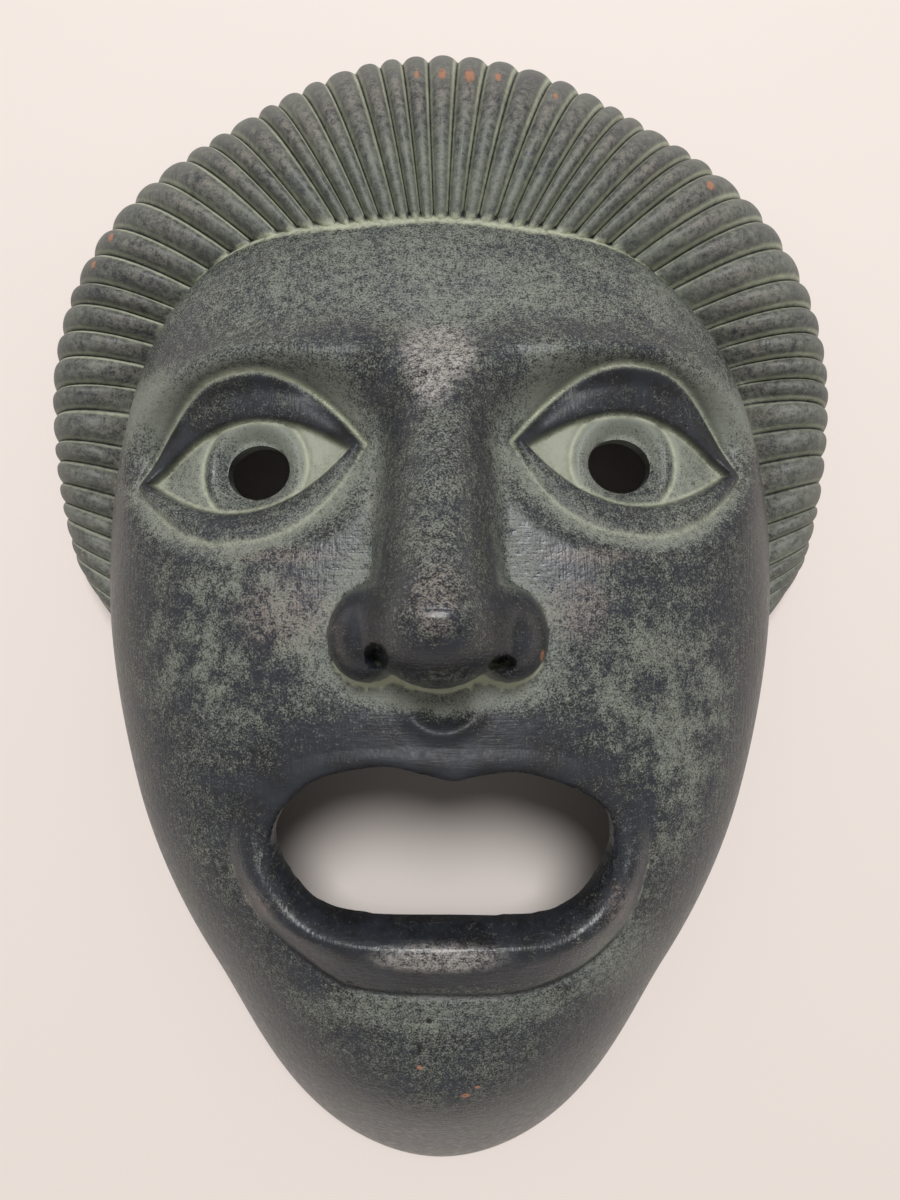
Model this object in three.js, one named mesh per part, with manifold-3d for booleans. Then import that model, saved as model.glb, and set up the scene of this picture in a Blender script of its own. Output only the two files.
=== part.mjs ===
// Greek theatre mask: one hollow moulded shell of fired clay, lying on its back rim.
// Millimetres. X runs across the face, Y from chin to crown, Z out of the face.
// The origin is on the rim plane, in the middle of the outline.

import * as THREE from "three";
import { mergeVertices } from "three/addons/utils/BufferGeometryUtils.js";
import Module from "manifold-3d";

const { clamp, degToRad, lerp, smoothstep } = THREE.MathUtils;

// Wall of the shell, and how far cutters run past a surface
const wall = 5;
const cutPast = 2;

// Face outline: an upper and a lower half superellipse that meet at the widest line
const faceHalfWidth = 77.5;
const faceWidestY = 5;
const chinReach = 147;
const hairlineReach = 87;
const jawRoundness = 1.65;
const chinRoundness = 1.95;
const chinStart = 0.65;
const templeRoundness = 2.5;
const templeLean = 4;

// Face crown: heights of the front, and of the line where the side wall turns up
const faceCrownZ = 61;
const cheekEdgeZ = 21;
const foreheadEdgeZ = 31;
const chinEdgeZ = 0.5;
const crownRoundness = 2.6;
const sideSteepness = 0.5;
const chinSteepness = 0.78;
const crownFlatShare = 0.3;

// Brow ridges
const browY = 54.5;
const browFall = 4;
const browHalfLength = 60;
const browLift = 4;
const browWidth = 6;
const browEndFade = [0.7, 1.15];
const browMiddleDip = 0.15;
const browMiddleWidth = 10;
const browMiddleFall = 4;

// Eyes: places mirrored about the middle line
const almondPower = 1.95;
const lidPower = 2.4;
const eyeX = 40.5;
const eyeY = 32.5;
const eyeTilt = 0.018;
const eyeDroop = degToRad(6.4);
const eyeHalfLength = 22.5;
const eyeUpper = 10;
const eyeLower = 10;
const lidHalfLength = 26;
const lidUpper = 19;
const lidLower = 16.5;
const lidLift = 2;
const lidInnerFade = [0.8, 1.1];
const lidOuterFade = [0.75, 1.05];
const eyeSink = 1.5;
const eyeSinkFade = [0.7, 1.05];
const socketHalfLength = 31;
const socketHalfHeight = 21;
const socketDepth = 8.5;
const socketFlatBelow = 0.3;
const socketFlatAbove = 0.7;
const socketTurn = 8;
const socketEdge = 1.08;
const pupilX = 38.4;
const pupilY = 31.6;
const pupilRadiusX = 7.1;
const pupilRadiusY = 5.9;

// Nose
const noseRootY = 42;
const noseRootZ = 67.5;
const noseRootFall = 24;
const noseTipY = 1;
const noseTipZ = 93;
const bridgeHalfWidth = 5.5;
const bridgeLowHalfWidth = 6;
const rootFlare = 6;
const rootFlareY = 55;
const rootFlareSpread = 10;
const bridgeSideDrop = 3;
const bridgeSquareness = 2.9;
const tipLift = 1.5;
const tipSwelling = 0.5;
const tipReach = 8;
const undersideY = 9;
const undersideRadiusX = 17;
const undersideRadiusY = 21.7;
const undersideTopZ = 98;
const undersideDepth = 30;
const undersideBlend = 5;
const wingX = 13;
const wingY = -2.7;
const wingRadiusX = 8.1;
const wingRadiusY = 9.4;
const wingTilt = degToRad(10);
const wingTopZ = 78.5;
const wingDepth = 15;
const wingBlend = 14;
const capFallSlope = 3;
const noseFootBlend = 16;
const noseRootBlend = 14;
const wingFootBlend = 4;
const wingFootFade = [8, 22];
const noseRootFade = [25, 45];
const nostrilDepth = 5;
const nostrilFade = [0.6, 1.15];
const nostrils = [
  { x: -10.5, y: -6.2, radiusX: 2.2, radiusY: 2.4 },
  { x: 11.5, y: -7.6, radiusX: 2.5, radiusY: 1.5 },
];

// Muzzle, dimple under the nose, lips and mouth opening
const muzzleY = -30;
const muzzleHalfWidth = 30;
const muzzleHalfHeight = 20;
const muzzleLift = 2.8;
const dimpleX = 1;
const dimpleY = -16.8;
const dimpleRadiusX = 6.5;
const dimpleRadiusY = 5.2;
const dimpleDepth = 2;
const dimpleFlat = 0.25;
const dimpleRim = 1.1;
const dimpleRimWidth = 0.28;
const dimpleRimFade = [-0.1, 0.7];
const mouthX = 0.8;
const mouthY = -46;
const mouthWidening = 1;
const lipWidening = 1;
const lipLift = 4.4;
const lipRollSkew = 0.95;
const lipSink = 1.5;
const lipSinkReach = 1.12;
const lipTurn = 8;
const leastLipShare = 0.05;
const upperLipShare = 0.15;

// Outlines of the mouth opening and of the crease round the lips, from the right end over the top
const mouthOutline = [
  [35.6, -45], [34.2, -39], [28, -34], [17, -30], [9, -30.2], [3, -31.3], [-3, -30],
  [-11, -28.6], [-21.7, -30.7], [-27.5, -34], [-32.6, -40], [-33.8, -46], [-30, -54],
  [-24, -59], [-15, -60.8], [3, -61], [20, -61.2], [26.5, -59.3], [31, -56], [34.4, -50],
];
const lipOutline = [
  [43.3, -43], [40, -35.5], [32, -29.5], [18, -25.5], [0, -25], [-18, -25.5], [-33, -29.5],
  [-40, -36.5], [-43, -47], [-40.5, -56.5], [-35, -64.2], [-22.5, -73.5], [-15, -75.8],
  [0, -76.4], [15, -76.6], [24, -74.7], [33, -70.3], [40, -62.5], [43, -52],
];

// Cheeks and chin
const cheekX = 34;
const cheekY = 0;
const cheekWidth = 20;
const cheekLift = 2.5;
const chinY = -104;
const chinWidth = 20;
const chinFlattening = 1.3;
const chinLift = 4;

// Hair band: an arch of rounded locks about the middle of the brow
const hairCentreY = 52;
const hairHalfWidth = 98;
const hairTopReach = 85;
const lowerFullness = 2.6;
const quarterFlat = 0.045;
const quarterAngle = 52;
const quarterSpread = 20;
const hairStart = -28;
const hairEnd = 208;
const endRounding = 9;
const endRoundingSpan = 7;
const endWallSlant = 2.4;
const lockCount = 62;
const lockCrowding = 0.35;
const lockDepth = 2;
const lockScallop = 1;
const lockFade = [-4, 24];
const rowCrowding = 1.5;
const lowerSweep = 1.4;
const topCrestZ = 47;
const sideCrestZ = 27;
const endCrestZ = 19;
const endCrestSpan = 30;
const leastHairZ = 3;
const crestRoundness = 2.2;
const innerFallShare = 0.6;
const archFade = [-0.15, 1];
const topCrestIn = 36;
const sideCrestIn = 15;
const topBandWidth = 66;
const sideBandWidth = 33;
const bandInnerDrop = 7;
const hairCavityOverlap = 6;
const hairCavityLeastZ = 6;

// How finely the surfaces are cut into facets
const faceColumns = 40;
const faceRows = 58;
const cavityColumns = 16;
const cavityRows = 24;
const probeShares = [0.5, 0.8, 1];
const probeSteps = 8;
const facetsPerLock = 2;
const bandRows = 5;
const hairCavityColumns = 32;
const openingSteps = 40;
const curveSteps = 240;
const middleCrowding = 0.3;

const bump = (distance, width) => Math.exp(-((distance / width) ** 2));

function smoothMax(a, b, blend) {
  const overlap = Math.max(blend - Math.abs(a - b), 0) / blend;
  return Math.max(a, b) + (overlap * overlap * blend) / 4;
}

// Superellipse measure: below 1 inside, 1 on the outline
function superMeasure(dx, dy, power) {
  return (Math.abs(dx) ** power + Math.abs(dy) ** power) ** (1 / power);
}

// Power of the outline towards a direction: the chin is blunter than the jaw above it
function outlinePower(dx, dy) {
  if (dy >= 0) return templeRoundness;
  const down = -dy / Math.hypot(dx, dy);
  return lerp(jawRoundness, chinRoundness, smoothstep(down, chinStart, 1));
}

// Sideways lean of the forehead's outline, which is not quite even
const leanAt = (y) => templeLean * Math.max((y - faceWidestY) / hairlineReach, 0) ** 3;

function faceMeasure(x, y) {
  const dx = (x + leanAt(y)) / faceHalfWidth;
  const reach = y < faceWidestY ? chinReach : hairlineReach;
  const dy = (y - faceWidestY) / reach;
  return superMeasure(dx, dy, outlinePower(dx, dy));
}

// Plain rounded front of the face, before any feature
function crownHeight(x, y) {
  const chinward = smoothstep(faceWidestY - y, crownFlatShare * chinReach, chinReach);
  const flatAbove = crownFlatShare * hairlineReach;
  const foreheadward = smoothstep(y - faceWidestY, flatAbove, hairlineReach);
  let edge = lerp(cheekEdgeZ, foreheadEdgeZ, foreheadward);
  edge = lerp(edge, chinEdgeZ, chinward);
  const steepness = lerp(sideSteepness, chinSteepness, chinward);
  const measure = Math.min(faceMeasure(x, y), 1);
  return edge + (faceCrownZ - edge) * (1 - measure ** crownRoundness) ** steepness;
}

// Place within an eye: along and across its drooping axis
function eyePlace(x, y) {
  const dx = Math.abs(x) - eyeX;
  const dy = y - eyeY - eyeTilt * x;
  return {
    along: dx * Math.cos(eyeDroop) - dy * Math.sin(eyeDroop),
    across: dx * Math.sin(eyeDroop) + dy * Math.cos(eyeDroop),
  };
}

// Almond measure: below 1 inside the almond, 1 on its edge
function almondMeasure(place, power, halfLength, upper, lower) {
  const height = place.across > 0 ? upper : lower;
  return Math.abs(place.along / halfLength) ** power + Math.abs(place.across) / height;
}

function eyeRelief(x, y) {
  const place = eyePlace(x, y);
  const socketMeasure = Math.hypot(place.along / socketHalfLength, place.across / socketHalfHeight);
  const above = smoothstep(place.across, -socketTurn, socketTurn);
  const flat = lerp(socketFlatBelow, socketFlatAbove, above);
  const socket = 1 - smoothstep(socketMeasure, flat, socketEdge);
  const inner = almondMeasure(place, almondPower, eyeHalfLength, eyeUpper, eyeLower);
  const outer = almondMeasure(place, lidPower, lidHalfLength, lidUpper, lidLower);
  const lid = smoothstep(inner, ...lidInnerFade) * (1 - smoothstep(outer, ...lidOuterFade));
  const ball = 1 - smoothstep(inner, ...eyeSinkFade);
  return -socketDepth * socket + lidLift * lid - eyeSink * ball;
}

function browRelief(x, y) {
  const share = Math.abs(x) / browHalfLength;
  const along = 1 - smoothstep(share, ...browEndFade);
  const atMiddle = bump(x, browMiddleWidth);
  const crestY = browY - browFall * share * share - browMiddleFall * atMiddle;
  const middle = 1 - browMiddleDip * atMiddle;
  return browLift * along * middle * bump(y - crestY, browWidth);
}

// Ellipsoid cap standing on the plane depth below its top
function capHeight(dx, dy, topZ, depth) {
  const outside = dx * dx + dy * dy;
  if (outside > 1) return topZ - depth * (1 + capFallSlope * (outside - 1));
  return topZ - depth * (1 - Math.sqrt(1 - outside));
}

function smoothMin(a, b, blend) {
  return -smoothMax(-a, -b, blend);
}

function wingHeight(x, y) {
  const dx = Math.abs(x) - wingX;
  const dy = y - wingY;
  const along = dx * Math.cos(wingTilt) + dy * Math.sin(wingTilt);
  const upward = dy * Math.cos(wingTilt) - dx * Math.sin(wingTilt);
  return capHeight(along / wingRadiusX, upward / wingRadiusY, wingTopZ, wingDepth);
}

// Straight bridge with a swelling tip and a rounded underside, and the wings beside it
function noseHeight(x, y) {
  const down = (noseRootY - y) / (noseRootY - noseTipY);
  const atTip = bump(y - noseTipY, tipReach);
  const ridge = lerp(noseRootZ, noseTipZ, Math.min(down, 1)) + tipLift * atTip;
  const flare = rootFlare * bump(Math.min(y - rootFlareY, 0), rootFlareSpread);
  const plainHalfWidth = lerp(bridgeHalfWidth, bridgeLowHalfWidth, clamp(down, 0, 1));
  const halfWidth = plainHalfWidth + tipSwelling * atTip + flare;
  const side = bridgeSideDrop * (Math.abs(x) / halfWidth) ** bridgeSquareness;
  const aboveRoot = Math.max(y - noseRootY, 0) ** 2 / noseRootFall;
  const bridge = ridge - side - aboveRoot;
  const underDy = (y - undersideY) / undersideRadiusY;
  const under = capHeight(x / undersideRadiusX, underDy, undersideTopZ, undersideDepth);
  const nose = y > undersideY ? bridge : smoothMin(bridge, under, undersideBlend);
  return smoothMax(nose, wingHeight(x, y), wingBlend);
}

// Closed outline as a smooth curve, sorted by its angle round the mouth's middle
function outlineReach(points, steps, widening) {
  const corners = points.map(([x, y]) => new THREE.Vector3(mouthX + (x - mouthX) * widening, y, 0));
  const curve = new THREE.CatmullRomCurve3(corners, true, "catmullrom", 0.5);
  const places = curve.getPoints(steps).slice(0, steps);
  const reach = places.map((place) => ({
    place,
    angle: Math.atan2(place.y - mouthY, place.x - mouthX),
    radius: Math.hypot(place.x - mouthX, place.y - mouthY),
  }));
  return reach.sort((a, b) => a.angle - b.angle);
}

const mouthReach = outlineReach(mouthOutline, curveSteps, mouthWidening);
const lipReach = outlineReach(lipOutline, curveSteps, lipWidening);

// Below 1 inside an outline round the mouth's middle, 1 on it
function outlineMeasure(reach, x, y) {
  const angle = Math.atan2(y - mouthY, x - mouthX);
  let after = reach.findIndex((entry) => entry.angle > angle);
  if (after < 0) after = 0;
  const high = reach[after];
  const low = reach[(after + reach.length - 1) % reach.length];
  const turn = 2 * Math.PI;
  const span = (high.angle - low.angle + turn) % turn;
  const share = ((angle - low.angle + turn) % turn) / span;
  return Math.hypot(x - mouthX, y - mouthY) / lerp(low.radius, high.radius, share);
}

function lipRelief(x, y) {
  const inner = outlineMeasure(mouthReach, x, y);
  const outer = outlineMeasure(lipReach, x, y);
  const across = clamp((inner - 1) / Math.max(inner - outer, leastLipShare), 0, 1);
  const lower = lerp(upperLipShare, 1, smoothstep(mouthY - y, -lipTurn, lipTurn));
  const roll = Math.sin(Math.PI * across ** lipRollSkew);
  return lower * (lipLift * roll - lipSink * (1 - smoothstep(inner, 1, lipSinkReach)));
}

// Dent under the nose with a raised rim round its lower half
function dimpleRelief(x, y) {
  const dy = (y - dimpleY) / dimpleRadiusY;
  const measure = Math.hypot((x - dimpleX) / dimpleRadiusX, dy);
  const rim = bump(measure - 1, dimpleRimWidth) * smoothstep(-dy, ...dimpleRimFade);
  return dimpleRim * rim - dimpleDepth * (1 - smoothstep(measure, dimpleFlat, 1));
}

function faceHeight(x, y) {
  const muzzle = bump(Math.hypot(x / muzzleHalfWidth, (y - muzzleY) / muzzleHalfHeight), 1);
  const cheek = bump(Math.hypot(Math.abs(x) - cheekX, y - cheekY), cheekWidth);
  const chin = bump(Math.hypot(x, (y - chinY) * chinFlattening), chinWidth);
  let height = crownHeight(x, y) + browRelief(x, y) + eyeRelief(x, y);
  height += muzzleLift * muzzle + cheekLift * cheek + chinLift * chin;
  height += lipRelief(x, y) + dimpleRelief(x, y);
  let foot = lerp(wingFootBlend, noseFootBlend, smoothstep(y, ...wingFootFade));
  foot = lerp(foot, noseRootBlend, smoothstep(y, ...noseRootFade));
  height = smoothMax(height, noseHeight(x, y), foot);
  for (const nostril of nostrils) {
    const dx = (x - nostril.x) / nostril.radiusX;
    const dy = (y - nostril.y) / nostril.radiusY;
    height -= nostrilDepth * (1 - smoothstep(Math.hypot(dx, dy), ...nostrilFade));
  }
  return height;
}

// Place on the face for a square of s and t from -1 to 1, drawn in by an inset
function facePoint(s, t, inset) {
  const turn = (chinReach - hairlineReach) / (chinReach + hairlineReach);
  const evenRow = t < turn ? (t - turn) / (1 + turn) : (t - turn) / (1 - turn);
  const row = lerp(evenRow, evenRow ** 3, middleCrowding);
  const column = lerp(s, s ** 3, middleCrowding);
  const across = column * Math.sqrt(1 - (row * row) / 2);
  const up = row * Math.sqrt(1 - (column * column) / 2);
  const measure = superMeasure(across, up, outlinePower(across, up));
  const scale = measure > 0 ? Math.hypot(across, up) / measure : 1;
  const reach = (up < 0 ? chinReach : hairlineReach) - inset;
  const y = faceWidestY + up * scale * reach;
  return [across * scale * (faceHalfWidth - inset) - leanAt(y), y];
}

// Lowest surface that leaves a full wall under the front, as a ball of the wall's radius finds
function innerHeight(heightAt, x, y) {
  let lowest = heightAt(x, y) - wall;
  for (const share of probeShares) {
    const reach = wall * share;
    const rise = wall * Math.sqrt(1 - share * share);
    for (let step = 0; step < probeSteps; step += 1) {
      const angle = (2 * Math.PI * step) / probeSteps;
      const nearby = heightAt(x + reach * Math.cos(angle), y + reach * Math.sin(angle));
      lowest = Math.min(lowest, nearby - rise);
    }
  }
  return lowest;
}

const fromHairEnd = (degrees) => Math.min(degrees - hairStart, hairEnd - degrees);

// Hair arch at an angle in degrees: outer radius, and how far up the arch it is from 0 to 1
function hairRadius(degrees) {
  const angle = degToRad(degrees);
  const fullness = Math.sin(angle) < 0 ? lowerFullness : 2;
  const across = Math.cos(angle) / hairHalfWidth;
  const radius = 1 / superMeasure(across, Math.sin(angle) / hairTopReach, fullness);
  const fromSide = Math.min(degrees, 180 - degrees);
  return radius * (1 - quarterFlat * bump(fromSide - quarterAngle, quarterSpread));
}

const archShare = (degrees) => smoothstep(Math.sin(degToRad(degrees)), ...archFade);

// Direction in which a lock runs outward: radial above, swept up on the lower sides
function lockDirection(degrees) {
  if (degrees < 0) return -lowerSweep * degrees;
  if (degrees > 180) return 180 - lowerSweep * (degrees - 180);
  return degrees;
}

// How far the locks at the ends of the band start inside its outline, which rounds its corners
function endTrim(degrees) {
  const nearEnd = clamp(1 - fromHairEnd(degrees) / endRoundingSpan, 0, 1);
  return endRounding * nearEnd ** 2;
}

function hairPlace(degrees, inward) {
  const angle = degToRad(degrees);
  const run = degToRad(lockDirection(degrees));
  const radius = hairRadius(degrees);
  const reach = inward + endTrim(degrees);
  return [
    radius * Math.cos(angle) - reach * Math.cos(run),
    hairCentreY + radius * Math.sin(angle) - reach * Math.sin(run),
  ];
}

function hairHeight(degrees, inward) {
  const share = archShare(degrees);
  const sideZ = lerp(endCrestZ, sideCrestZ, smoothstep(fromHairEnd(degrees), 0, endCrestSpan));
  const crestZ = lerp(sideZ, topCrestZ, share);
  const crestIn = lerp(sideCrestIn, topCrestIn, share);
  if (inward > crestIn) {
    return crestZ - bandInnerDrop * ((inward - crestIn) / (innerFallShare * crestIn)) ** 2;
  }
  const outward = 1 - inward / crestIn;
  return crestZ * Math.sqrt(Math.max(1 - outward ** crestRoundness, 0));
}

// Closed body from a box whose front and back are cut into a grid and then placed
function formedBody(columns, rows, place) {
  const box = new THREE.BoxGeometry(2, 2, 2, columns, rows, 1);
  box.deleteAttribute("normal");
  box.deleteAttribute("uv");
  const body = mergeVertices(box);
  const position = body.attributes.position;
  for (let index = 0; index < position.count; index += 1) {
    const isFront = position.getZ(index) > 0;
    const point = place(position.getX(index), position.getY(index), isFront);
    position.setXYZ(index, point[0], point[1], point[2]);
  }
  return body;
}

function faceBody() {
  return formedBody(faceColumns, faceRows, (s, t, isFront) => {
    const [x, y] = facePoint(s, t, 0);
    return [x, y, isFront ? faceHeight(x, y) : 0];
  });
}

function faceCavityBody() {
  return formedBody(cavityColumns, cavityRows, (s, t, isFront) => {
    const [x, y] = facePoint(s, t, wall);
    const ceiling = Math.max(innerHeight(faceHeight, x, y), -cutPast / 2);
    return [x, y, isFront ? ceiling : -cutPast];
  });
}

const bandWidth = (degrees) => lerp(sideBandWidth, topBandWidth, archShare(degrees));

function hairBody() {
  const columns = lockCount * facetsPerLock;
  return formedBody(columns, bandRows, (s, t, isFront) => {
    const step = Math.round(((s + 1) / 2) * columns);
    const crowded = s * (1 + lockCrowding) - lockCrowding * s ** 3;
    const degrees = lerp(hairStart, hairEnd, (crowded + 1) / 2);
    const acrossLock = Math.abs((2 * (step % facetsPerLock)) / facetsPerLock - 1);
    const cut = acrossLock ** 2 * smoothstep(fromHairEnd(degrees), ...lockFade);
    const width = bandWidth(degrees);
    const inward = width * ((t + 1) / 2) ** rowCrowding + lockScallop * cut;
    const [x, y] = hairPlace(degrees, inward);
    const height = Math.max(hairHeight(degrees, inward) - lockDepth * cut, leastHairZ);
    return [x, y, isFront ? height : 0];
  });
}

function hairCavityBody() {
  return formedBody(hairCavityColumns, bandRows, (s, t, isFront) => {
    const margin = THREE.MathUtils.radToDeg((endWallSlant * wall) / hairHalfWidth);
    const degrees = lerp(hairStart + margin, hairEnd - margin, (s + 1) / 2);
    const start = wall + lockScallop;
    const inward = lerp(start, bandWidth(degrees) + hairCavityOverlap, (t + 1) / 2);
    const [x, y] = hairPlace(degrees, inward);
    const outwardHeight = hairHeight(degrees, inward - wall) + wall / 2;
    const surface = Math.min(hairHeight(degrees, inward), outwardHeight);
    const leastZ = inward > bandWidth(degrees) / 2 ? hairCavityLeastZ : -cutPast / 2;
    const ceiling = Math.max(surface - wall - lockDepth / 2, leastZ);
    return [x, y, isFront ? ceiling : -cutPast];
  });
}

// Mouth opening as a prism that follows the lip edge
function mouthCutter() {
  const edge = outlineReach(mouthOutline, openingSteps, mouthWidening);
  const outline = new THREE.Shape(edge.map(({ place }) => new THREE.Vector2(place.x, place.y)));
  const depth = noseTipZ + 2 * cutPast;
  const prism = new THREE.ExtrudeGeometry(outline, { depth, bevelEnabled: false });
  return prism.translate(0, 0, -cutPast);
}

function pupilCutter(side) {
  const depth = noseTipZ + 2 * cutPast;
  const hole = new THREE.CylinderGeometry(1, 1, depth, openingSteps / 2);
  hole.rotateX(Math.PI / 2);
  hole.scale(pupilRadiusX, pupilRadiusY, 1);
  const x = side * pupilX;
  return hole.translate(x, pupilY + eyeTilt * x, depth / 2 - cutPast);
}

const wasm = await Module();
wasm.setup();

function toSolid(geometry) {
  const plain = geometry.clone();
  plain.deleteAttribute("normal");
  plain.deleteAttribute("uv");
  const merged = mergeVertices(plain);
  return new wasm.Manifold(new wasm.Mesh({
    numProp: 3,
    vertProperties: new Float32Array(merged.attributes.position.array),
    triVerts: new Uint32Array(merged.index.array),
  }));
}

function toGeometry(solid) {
  const mesh = solid.getMesh();
  const geometry = new THREE.BufferGeometry();
  geometry.setAttribute("position", new THREE.BufferAttribute(mesh.vertProperties, 3));
  geometry.setIndex(new THREE.BufferAttribute(mesh.triVerts, 1));
  return geometry;
}

function maskGeometry() {
  const front = toSolid(faceBody()).add(toSolid(hairBody()));
  const cavity = toSolid(faceCavityBody()).add(toSolid(hairCavityBody()));
  let shell = front.subtract(cavity);
  shell = shell.subtract(toSolid(mouthCutter()));
  for (const side of [-1, 1]) shell = shell.subtract(toSolid(pupilCutter(side)));
  const geometry = toGeometry(shell);
  geometry.computeVertexNormals();
  return geometry;
}

const patina = new THREE.MeshStandardMaterial({ color: 0x45494a, roughness: 0.5, metalness: 0.1 });

const mask = new THREE.Mesh(maskGeometry(), patina);
mask.name = "mask";
mask.position.y = -(hairCentreY + hairTopReach + faceWidestY - chinReach) / 2;

const object = new THREE.Group();
object.add(mask);

export default object;
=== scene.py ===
"""Greek theatre mask of fired clay with a dark patina, lying on its back rim."""

import math

import bpy
import numpy as np
from mathutils import Matrix, Vector


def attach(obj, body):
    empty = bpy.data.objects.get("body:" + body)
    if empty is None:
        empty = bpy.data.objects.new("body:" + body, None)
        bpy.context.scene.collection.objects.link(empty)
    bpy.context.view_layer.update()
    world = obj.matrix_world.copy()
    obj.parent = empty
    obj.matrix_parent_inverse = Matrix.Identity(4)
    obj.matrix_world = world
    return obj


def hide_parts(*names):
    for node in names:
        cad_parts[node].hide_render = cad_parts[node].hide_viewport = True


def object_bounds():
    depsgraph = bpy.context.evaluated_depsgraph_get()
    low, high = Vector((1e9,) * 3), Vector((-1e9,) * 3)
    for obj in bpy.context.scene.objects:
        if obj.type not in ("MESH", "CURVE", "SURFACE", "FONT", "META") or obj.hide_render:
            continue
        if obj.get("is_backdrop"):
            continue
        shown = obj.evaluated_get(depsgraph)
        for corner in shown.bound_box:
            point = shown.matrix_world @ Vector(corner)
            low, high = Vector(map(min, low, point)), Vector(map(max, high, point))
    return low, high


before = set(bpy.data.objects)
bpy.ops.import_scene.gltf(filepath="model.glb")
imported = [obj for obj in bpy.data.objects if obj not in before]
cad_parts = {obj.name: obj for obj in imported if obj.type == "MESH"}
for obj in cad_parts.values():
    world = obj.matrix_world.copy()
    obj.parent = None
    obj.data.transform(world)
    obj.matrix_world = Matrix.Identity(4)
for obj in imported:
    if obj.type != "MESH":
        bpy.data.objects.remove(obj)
CAD_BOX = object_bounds()

MM = 0.001

# Photograph: size, focal length in its pixels, and the camera's height over the table
PHOTO_LONG_SIDE = 1200
FOCAL_PIXELS = 890
SENSOR_LONG_SIDE = 36.0
CAMERA_X = 2.3 * MM
CAMERA_Y = 6.3 * MM
CAMERA_Z = 235 * MM

# Wall of the shell, and how far cutters run past a surface
WALL = 5 * MM
CUT_PAST = 2 * MM

# Face outline
FACE_HALF_WIDTH = 77.5 * MM
FACE_WIDEST_Y = 5 * MM
CHIN_REACH = 147 * MM
HAIRLINE_REACH = 87 * MM
JAW_ROUNDNESS = 1.65
CHIN_ROUNDNESS = 1.95
CHIN_START = 0.65
TEMPLE_ROUNDNESS = 2.5
TEMPLE_LEAN = 4 * MM

# Face crown
FACE_CROWN_Z = 61 * MM
CHEEK_EDGE_Z = 21 * MM
FOREHEAD_EDGE_Z = 31 * MM
CHIN_EDGE_Z = 0.5 * MM
CROWN_ROUNDNESS = 2.6
SIDE_STEEPNESS = 0.5
CHIN_STEEPNESS = 0.78
CROWN_FLAT_SHARE = 0.3

# Brow ridges
BROW_Y = 54.5 * MM
BROW_FALL = 4 * MM
BROW_HALF_LENGTH = 60 * MM
BROW_LIFT = 4 * MM
BROW_WIDTH = 6 * MM
BROW_END_FADE = (0.7, 1.15)
BROW_MIDDLE_DIP = 0.15
BROW_MIDDLE_WIDTH = 10 * MM
BROW_MIDDLE_FALL = 4 * MM

# Eyes
EYE_X = 40.5 * MM
EYE_Y = 32.5 * MM
EYE_TILT = 0.018
EYE_DROOP = math.radians(6.4)
ALMOND_POWER = 1.95
LID_POWER = 2.4
EYE_HALF_LENGTH = 22.5 * MM
EYE_UPPER = 10 * MM
EYE_LOWER = 10 * MM
LID_HALF_LENGTH = 26 * MM
LID_UPPER = 19 * MM
LID_LOWER = 16.5 * MM
LID_LIFT = 2.4 * MM
LID_EDGE = 0.5 * MM
LID_CREASE = 1.1 * MM
LID_CREASE_WIDTH = 0.8 * MM
LID_CREASE_FADE = (-6 * MM, 2 * MM)
LEAST_LID = 0.4 * MM
LID_CREST_SHARE = 0.35
LID_INNER_FALL = 0.6
EYE_SINK = 1.4 * MM
EYE_BULGE = 2.0 * MM
EYE_BULGE_WIDTH = 13 * MM
SOCKET_HALF_LENGTH = 31 * MM
SOCKET_HALF_HEIGHT = 21 * MM
SOCKET_DEPTH = 8.5 * MM
SOCKET_FLAT_BELOW = 0.3
SOCKET_FLAT_ABOVE = 0.7
SOCKET_TURN = 8 * MM
SOCKET_EDGE = 1.08
IRIS_X = 39.2 * MM
IRIS_Y = 32.2 * MM
IRIS_RADIUS = 11.8 * MM
IRIS_GROOVE = 0.8 * MM
IRIS_GROOVE_WIDTH = 0.8 * MM
IRIS_RIM = 2 * MM
IRIS_DISH = 2.4 * MM
IRIS_DISH_LIMIT = 1.3
IRIS_DISH_POWER = 1.3
PUPIL_X = 38.4 * MM
PUPIL_Y = 31.6 * MM
PUPIL_RADIUS_X = 7.1 * MM
PUPIL_RADIUS_Y = 5.9 * MM

# Nose
NOSE_ROOT_Y = 42 * MM
NOSE_ROOT_Z = 67.5 * MM
NOSE_TIP_Y = 1 * MM
NOSE_TIP_Z = 93 * MM
BRIDGE_HALF_WIDTH = 5.5 * MM
BRIDGE_LOW_HALF_WIDTH = 6.0 * MM
ROOT_FLARE = 6 * MM
ROOT_FLARE_Y = 55 * MM
ROOT_FLARE_SPREAD = 10 * MM
BRIDGE_SIDE_DROP = 3 * MM
BRIDGE_SQUARENESS = 2.9
NOSE_ROOT_FALL = 24 * MM
TIP_LIFT = 1.5 * MM
TIP_SWELLING = 0.5 * MM
TIP_REACH = 8 * MM
UNDERSIDE_Y = 9 * MM
UNDERSIDE_RADIUS_X = 17 * MM
UNDERSIDE_RADIUS_Y = 21.7 * MM
UNDERSIDE_TOP_Z = 98 * MM
UNDERSIDE_DEPTH = 30 * MM
UNDERSIDE_BLEND = 5 * MM
WING_X = 13 * MM
WING_Y = -2.7 * MM
WING_RADIUS_X = 8.1 * MM
WING_RADIUS_Y = 9.4 * MM
WING_TILT = math.radians(10)
WING_TOP_Z = 78.5 * MM
WING_DEPTH = 15 * MM
WING_BLEND = 14 * MM
NOSE_FOOT_BLEND = 16 * MM
NOSE_ROOT_BLEND = 14 * MM
WING_FOOT_BLEND = 4 * MM
WING_FOOT_FADE = (-22 * MM, -8 * MM)
NOSE_ROOT_FADE = (25 * MM, 45 * MM)
CAP_FALL_SLOPE = 3
NOSTRIL_DEPTH = 7 * MM
NOSTRIL_FADE = (0.6, 1.15)
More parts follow.
